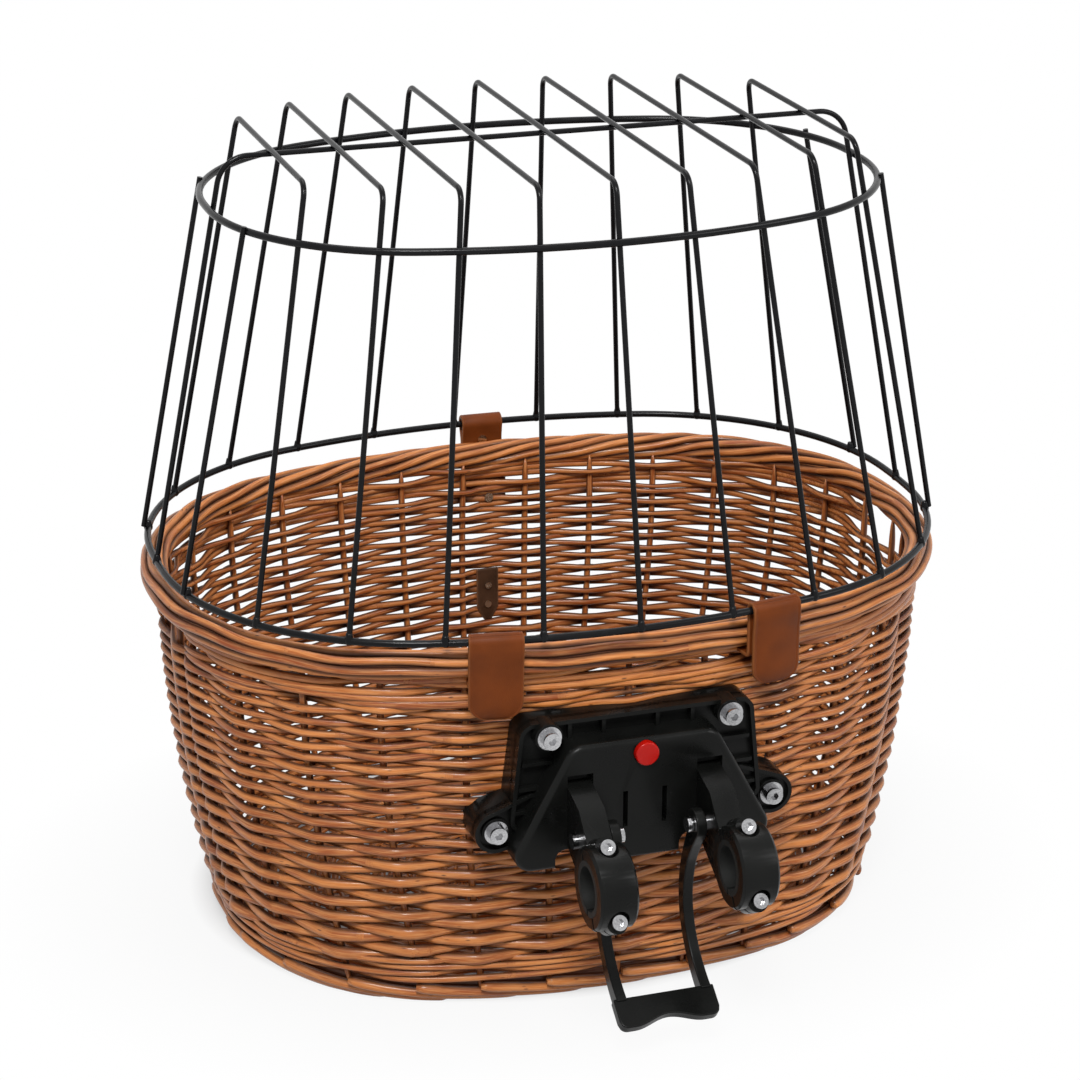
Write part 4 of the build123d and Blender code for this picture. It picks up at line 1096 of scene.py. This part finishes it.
class BASKET_OT_straps(bpy.types.Operator):
    """Cut the leather straps, their tongues and the lead tab"""

    bl_idname = "dog_basket.straps"
    bl_label = "Leather straps"

    def execute(self, context):
        looks = context.scene.basket_looks
        colour = np.array(looks.leather)
        hide = leather_finish("strap_hide", tuple(colour), tuple(0.72 * colour), tuple(looks.raw_edge))
        left = self.front("left", -FRONT_STRAP_PLACE, 0.0)
        right = self.front("right", FRONT_STRAP_PLACE, RIGHT_DRIFT)
        for piece in (*left, *right, self.back()):
            piece.data.materials.append(hide)
        colour = np.array(looks.tab)
        hide = leather_finish("tab_hide", tuple(colour), tuple(0.5 * colour), tuple(3 * colour))
        self.tab().data.materials.append(hide)
        return {"FINISHED"}

    def front(self, hand, place, drift):
        """Strap that comes out of the wall, up over the border and round the wire, and the tongue
        that falls from it."""
        wire = wire_frame(place)
        layer, _, inside = strap_levels(place)
        tail = inside - STRAP_GAP - STRAP_THICKNESS / 2
        up = [(tail, FRONT_TAIL), (tail, FRONT_SLOT), (layer, FRONT_SLOT), (layer, NECK)]
        route = bent_route(up, turn_points(FRONT_WRAP, *FRONT_TURN))
        strap = strap_piece(hand + "_strap_hide", hand + "_front_strap", wire, route, FRONT_STRAP_WIDTH / 2)
        share = np.linspace(0, 1, 40)[1:, None]
        start = np.array([FRONT_WRAP, -0.0006])
        knee, tip = np.array([layer + KNEE_OUT, KNEE]), np.array([layer + TIP_OUT, TONGUE_TIP])
        upper = self.curve(start, knee, np.array([0.0012, KNEE]), (tip - start) * 0.45, share)
        lower = self.curve(knee, tip, (tip - start) * 0.55, tip - knee, share)
        route = bent_route(turn_points(FRONT_WRAP, *TONGUE_TURN), upper, lower)
        width = rounded_end(route, FRONT_STRAP_WIDTH / 2 + TONGUE_EXTRA, TONGUE_CORNER)
        tongue = strap_piece(hand + "_tongue_hide", hand + "_strap_tongue", wire, route, width, drift=drift)
        return strap, tongue

    def curve(self, start, end, start_pull, end_pull, share):
        """Cubic from start to end that leaves and arrives along the two pulls."""
        a, b = 2 * share**3 - 3 * share**2 + 1, share**3 - 2 * share**2 + share
        c, d = -2 * share**3 + 3 * share**2, share**3 - share**2
        return a * start + b * start_pull + c * end + d * end_pull

    def back(self):
        """Strap riveted to the wall behind, over the border and round the wire, whose leaf is
        riveted back to itself."""
        wire = wire_frame(BACK_STRAP_PLACE, back=True)
        layer, wall, _ = strap_levels(BACK_STRAP_PLACE)
        flat, leaf = wall + STRAP_GAP + STRAP_THICKNESS / 2, layer + STRAP_THICKNESS + STRAP_GAP
        up = [(flat, BACK_TAIL), (flat, BACK_BEND), (layer, BACK_SHOULDER), (layer, NECK)]
        down = [(leaf, LEAF_TOP), (leaf, KNEE)]
        route = bent_route(up, turn_points(BACK_WRAP, *BACK_TURN), down)
        return strap_piece("back_strap_hide", "back_strap", wire, route, BACK_STRAP_WIDTH / 2)

    def tab(self):
        """Pointed tab on the back wall's inside: even to the shoulders, then narrowing to a blunt point."""
        low, high = (np.array(corner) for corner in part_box("lead_tab"))
        rise = np.linspace(low[2], high[2], 60)
        half = np.interp(rise - low[2], TAB_RISE, TAB_HALF)
        lean = (high[1] - low[1] - 2 * TAB_INSET) / (high[2] - low[2])
        face = low[1] + TAB_INSET + lean * (rise - low[2])
        place = np.array([[(low[0] + high[0]) / 2, 0, 0], [0, 1.0, 0], [1.0, 0, 0]])
        route = np.stack([face, rise], -1)
        return strap_piece("lead_tab_hide", "lead_tab", place, route, half, TAB_THICKNESS)


class BASKET_OT_bracket(bpy.types.Operator):
    """Finish the plate, the adapter, the clamps and the brace in grained plastic"""

    bl_idname = "dog_basket.bracket"
    bl_label = "Handlebar bracket"

    def execute(self, context):
        looks = context.scene.basket_looks
        plastic = plain_finish("grained_plastic", tuple(looks.plastic), 0.34, 0.0006, 0.00003, gloss=0.13)
        rubber = plain_finish("reducer_rubber", tuple(1.6 * c for c in looks.plastic), 0.6, gloss=0.2)
        red = plain_finish("button_plastic", tuple(looks.button), 0.3, vary=0.08, coat=0.05, gloss=0.2)
        for row in frame["record"]["subparts"]:
            if row["material_slot"] in ("black_plastic", "reducer_plastic"):
                dress(row["node"], rubber if row["material_slot"] == "reducer_plastic" else plastic)
        for node in ("adapter_body", "left_clamp_arm", "right_clamp_arm", "left_clamp_cap", "right_clamp_cap"):
            name = node.replace("_body", "").replace("_clamp", "") + "_moulding"
            moulding(name, node, MOULDED_EDGE, plastic)
        moulding("button_cap", "release_button", BUTTON_EDGE, red)
        for piece in (self.plate(), self.brace()):
            piece.data.materials.append(plastic)
        return {"FINISHED"}

    def plate(self):
        """Plate behind the adapter: a skin with a raised lip round it, an ear and a boss at each low
        bolt, a boss at each top one, and ribs. It is cut away below, between the adapter's lobes."""
        body = np.concatenate([hull_outline(np.array(PLATE_CIRCLES) * MM), np.array(PLATE_CUT) * MM])
        parts = [prism(body, *FACE, PLATE_SKIN), self.lip(body, LIP_WIDTH, LIP_FRONT)]
        for hand in (-1, 1):
            ear = hull_outline(np.array(EAR_CIRCLES) * (hand, 1, 1) * MM)
            parts += [prism(ear, *FACE, EAR_SKIN), self.lip(ear, EAR_LIP_WIDTH, EAR_LIP_FRONT)]
            for x, z, radius, front in BOSSES:
                boss = hull_outline(np.array([[hand * x, z, radius]]) * MM)
                parts.append(prism(boss, *FACE, (front, PLATE_SKIN[1])))
        ribs = [(x - RIB_HALF, x + RIB_HALF, *UPRIGHT_RIB_REACH) for x in UPRIGHT_RIBS]
        for z, near, far in SIDE_RIBS:
            ribs += [(x0, x1, z - RIB_HALF, z + RIB_HALF) for x0, x1 in ((near, far), (-far, -near))]
        for x0, x1, z0, z1 in ribs:
            parts.append(prism(np.array([[x0, z0], [x1, z0], [x1, z1], [x0, z1]]) * MM, *FACE, RIB_DEPTHS))
        return solid_piece("plate_moulding", "basket_plate", parts, MOULDED_EDGE)

    def brace(self):
        """Brace: two legs whose half width shrinks from the round eye at the pivot to the neck, and a
        foot across their ends whose front edge is hollowed by a cosine."""
        route = np.array(BRACE_ROUTE) * MM
        knots = lengths_along(route) / lengths_along(route)[-1]
        share = np.linspace(0, 1, 60)
        line = np.stack([np.polyval(np.polyfit(knots, route[:, axis], 4), share) for axis in range(2)], -1)
        ahead = np.gradient(line, axis=0)
        ahead /= np.linalg.norm(ahead, axis=1)[:, None]
        side = np.stack([-ahead[:, 1], ahead[:, 0]], -1)
        behind, before = (np.interp(share, *widths)[:, None] * MM for widths in (BRACE_BEHIND, BRACE_BEFORE))
        turn = math.atan2(side[0, 1], side[0, 0]) + np.linspace(0, math.pi, 16)[1:-1]
        eye = line[0] + BRACE_EYE * np.stack([np.cos(turn), np.sin(turn)], -1)
        leg = np.concatenate([line + side * behind, (line - side * before)[::-1], eye[::-1]])
        sideways = (0, 0, 0), (0, 1, 0), (0, 0, 1), (1, 0, 0)
        parts = [prism(leg, *sideways, [hand * x for x in BRACE_LEG]) for hand in (-1, 1)]
        place = np.linspace(-BRACE_FOOT_HALF, BRACE_FOOT_HALF, 61)
        past = np.clip(np.abs(place) - (BRACE_FOOT_HALF - BRACE_FOOT_CORNER), 0, BRACE_FOOT_CORNER)
        corner = BRACE_FOOT_CORNER - np.sqrt(BRACE_FOOT_CORNER**2 - past**2)
        hollow = BRACE_FOOT_HOLLOW[1] * (1 + np.cos(math.pi * np.clip(place / BRACE_FOOT_HOLLOW[0], -1, 1)))
        front = np.stack([place, BRACE_FOOT_LENGTH - corner - hollow], -1)
        foot = np.concatenate([front, [[BRACE_FOOT_HALF, BRACE_FOOT_BACK], [-BRACE_FOOT_HALF, BRACE_FOOT_BACK]]])
        parts.append(prism(foot, *BRACE_FOOT_SLOPE, BRACE_FOOT_DEPTHS))
        return solid_piece("brace_moulding", "support_brace", parts, BRACE_EDGE)

    def lip(self, outline, thickness, front):
        """A wall along the outline: its front is level and its back lies 2 mm into the wicker's face."""
        ahead = np.roll(outline, -1, 0) - np.roll(outline, 1, 0)
        inward = np.stack([-ahead[:, 1], ahead[:, 0]], -1) / np.linalg.norm(ahead, axis=1)[:, None]
        inner = outline + thickness * inward
        half_length, half_width = wall_sizes(outline[:, 1] - FLOOR_Z)
        side = SIDE_SHARE * half_length
        seat = BASKET_Y + LIP_SEAT - (half_width - side + np.sqrt(side**2 - outline[:, 0] ** 2))
        corners = [(outline, seat), (outline, front), (inner, front), (inner, seat)]
        lines = [np.stack([line[:, 0], 0 * line[:, 0] + depth, line[:, 1]], -1) for line, depth in corners]
        return np.stack(lines, 1), True


class BASKET_OT_hardware(bpy.types.Operator):
    """Plate the bolts, washers, screws, rivets and snaps"""

    bl_idname = "dog_basket.hardware"
    bl_label = "Bolts, screws and rivets"

    def execute(self, context):
        looks = context.scene.basket_looks
        zinc = plain_finish("bright_zinc", tuple(looks.zinc), 0.2, 0.0011, 0.00012, metallic=1.0, vary=0.4)
        brass = plain_finish("rivet_plating", (0.72, 0.62, 0.46), 0.3, 0.0006, 0.00002, metallic=1.0, vary=0.15)
        for row in frame["record"]["subparts"]:
            if row["material_slot"] in ("zinc_steel", "snap_metal", "spring_steel"):
                dress(row["node"], zinc)
            if row["material_slot"] == "rivet_metal":
                dress(row["node"], brass)
        return {"FINISHED"}


class BASKET_OT_stage(bpy.types.Operator):
    """Set the floor, the lights, the white surround and the camera"""

    bl_idname = "dog_basket.stage"
    bl_label = "Stage"

    def execute(self, context):
        self.floor()
        self.surround(context.scene)
        for name, place, width, power in LAMPS:
            lamp = bpy.data.lights.new(name, "AREA")
            lamp.shape, lamp.size, lamp.energy = "SQUARE", width, power
            self.aim(in_scene(name, lamp), place, LAMP_AIM)
        camera = bpy.data.cameras.new("photograph_view")
        camera.sensor_width, camera.lens = 36.0, CAMERA_LENS
        camera.shift_x, camera.shift_y = CAMERA_SHIFT
        camera.clip_start, camera.clip_end = 0.05, 60
        seat = in_scene("photograph_view", camera)
        self.aim(seat, CAMERA_PLACE, CAMERA_AIM)
        context.scene.camera = seat
        context.scene.view_settings.view_transform = "Standard"
        return {"FINISHED"}

    def floor(self):
        """Pale floor that takes the basket's shadow and is white to the camera away from it: the
        white's share is small under the foot and grows outward from its edge, so a painted shadow rings the foot on
        top of the real one."""
        corners = [(x * FLOOR_HALF, y * FLOOR_HALF, FLOOR_Z) for x, y in ((-1, -1), (1, -1), (1, 1), (-1, 1))]
        floor = new_piece("floor", corners, [[0, 1, 2, 3]], smooth=False)
        ground = Finish("pale_floor", Base_Color=(0.5, 0.5, 0.5), Roughness=0.9, Specular_IOR_Level=0.1)
        away, seen = self.away(ground), self.seen(ground)
        glow = ground.node("ShaderNodeEmission", None, {"Color": (1, 1, 1), "Strength": 1.0})
        shell = Value(ground, ground.shader.outputs[0])
        # The white's share ramps up away from the foot: a painted contact shadow round the foot, over the real
        # shadow from the lamps
        share = seen * (0.12 + 0.78 * ground.ramp(away, 0.6, 0.74) + 0.1 * ground.ramp(away, 0.72, 1.2))
        shown = ground.node("ShaderNodeMixShader", None, {0: share, 1: shell, 2: glow})
        ground.tree.links.new(shown.socket, ground.tree.nodes["Material Output"].inputs[0])
        floor.data.materials.append(ground.material)

    def surround(self, scene):
        """World that is full white where it is seen, and gives the object a soft share of light."""
        world = bpy.data.worlds.new("studio")
        scene.world = world
        world.use_nodes = True
        sky = Nodes(world.node_tree)
        back = sky.tree.nodes["Background"]
        back.inputs["Color"].default_value = (1, 1, 1, 1)
        sky.feed(back.inputs["Strength"], SKY + (1 - SKY) * self.seen(sky))

    def away(self, nodes):
        """Distance on the floor from the basket's middle, stretched so that the foot's edge lies at
        about 0.7 all round."""
        sockets = {0: nodes.place(), 1: (0, BASKET_Y + 0.02, FLOOR_Z)}
        middle = nodes.node("ShaderNodeVectorMath", {"operation": "SUBTRACT"}, sockets)
        sockets = {0: nodes.stretch(middle, (3.4, 4.2, 0))}
        return nodes.node("ShaderNodeVectorMath", {"operation": "LENGTH"}, sockets, output=1)

    def aim(self, made, place, target):
        """Puts a lamp or the camera at a place and turns it to face a point."""
        made.location = place
        made.rotation_euler = (Vector(target) - Vector(place)).to_track_quat("-Z", "Y").to_euler()

    def seen(self, nodes):
        """1 on rays that come straight from the camera, a mirror or clear glass, and 0 on the rest."""
        camera, mirror, glass = (nodes.node("ShaderNodeLightPath", output=ray) for ray in (0, 3, 6))
        return camera.op("MAXIMUM", camera.op("MAXIMUM", camera, mirror), glass)


OPERATORS = (
    BASKET_OT_weave,
    BASKET_OT_borders,
    BASKET_OT_base,
    BASKET_OT_cage,
    BASKET_OT_straps,
    BASKET_OT_bracket,
    BASKET_OT_hardware,
    BASKET_OT_stage,
)


class BASKET_PT_panel(bpy.types.Panel):
    bl_idname = "BASKET_PT_panel"
    bl_label = "Dog Basket"
    bl_space_type = "VIEW_3D"
    bl_region_type = "UI"
    bl_category = "Dog Basket"

    def draw(self, context):
        for group in (context.scene.basket_weave, context.scene.basket_looks):
            for key in group.__annotations__:
                self.layout.prop(group, key)
        for operator in OPERATORS:
            self.layout.operator(operator.bl_idname)


CLASSES = (WeaveSettings, LooksSettings, *OPERATORS, BASKET_PT_panel)


def register():
    for made in CLASSES:
        bpy.utils.register_class(made)
    bpy.types.Scene.basket_weave = PointerProperty(type=WeaveSettings)
    bpy.types.Scene.basket_looks = PointerProperty(type=LooksSettings)


def unregister():
    del bpy.types.Scene.basket_looks
    del bpy.types.Scene.basket_weave
    for made in reversed(CLASSES):
        bpy.utils.unregister_class(made)


def main():
    register()
    for operator in OPERATORS:
        group, action = operator.bl_idname.split(".")
        getattr(getattr(bpy.ops, group), action)()


if __name__ == "__main__":
    main()
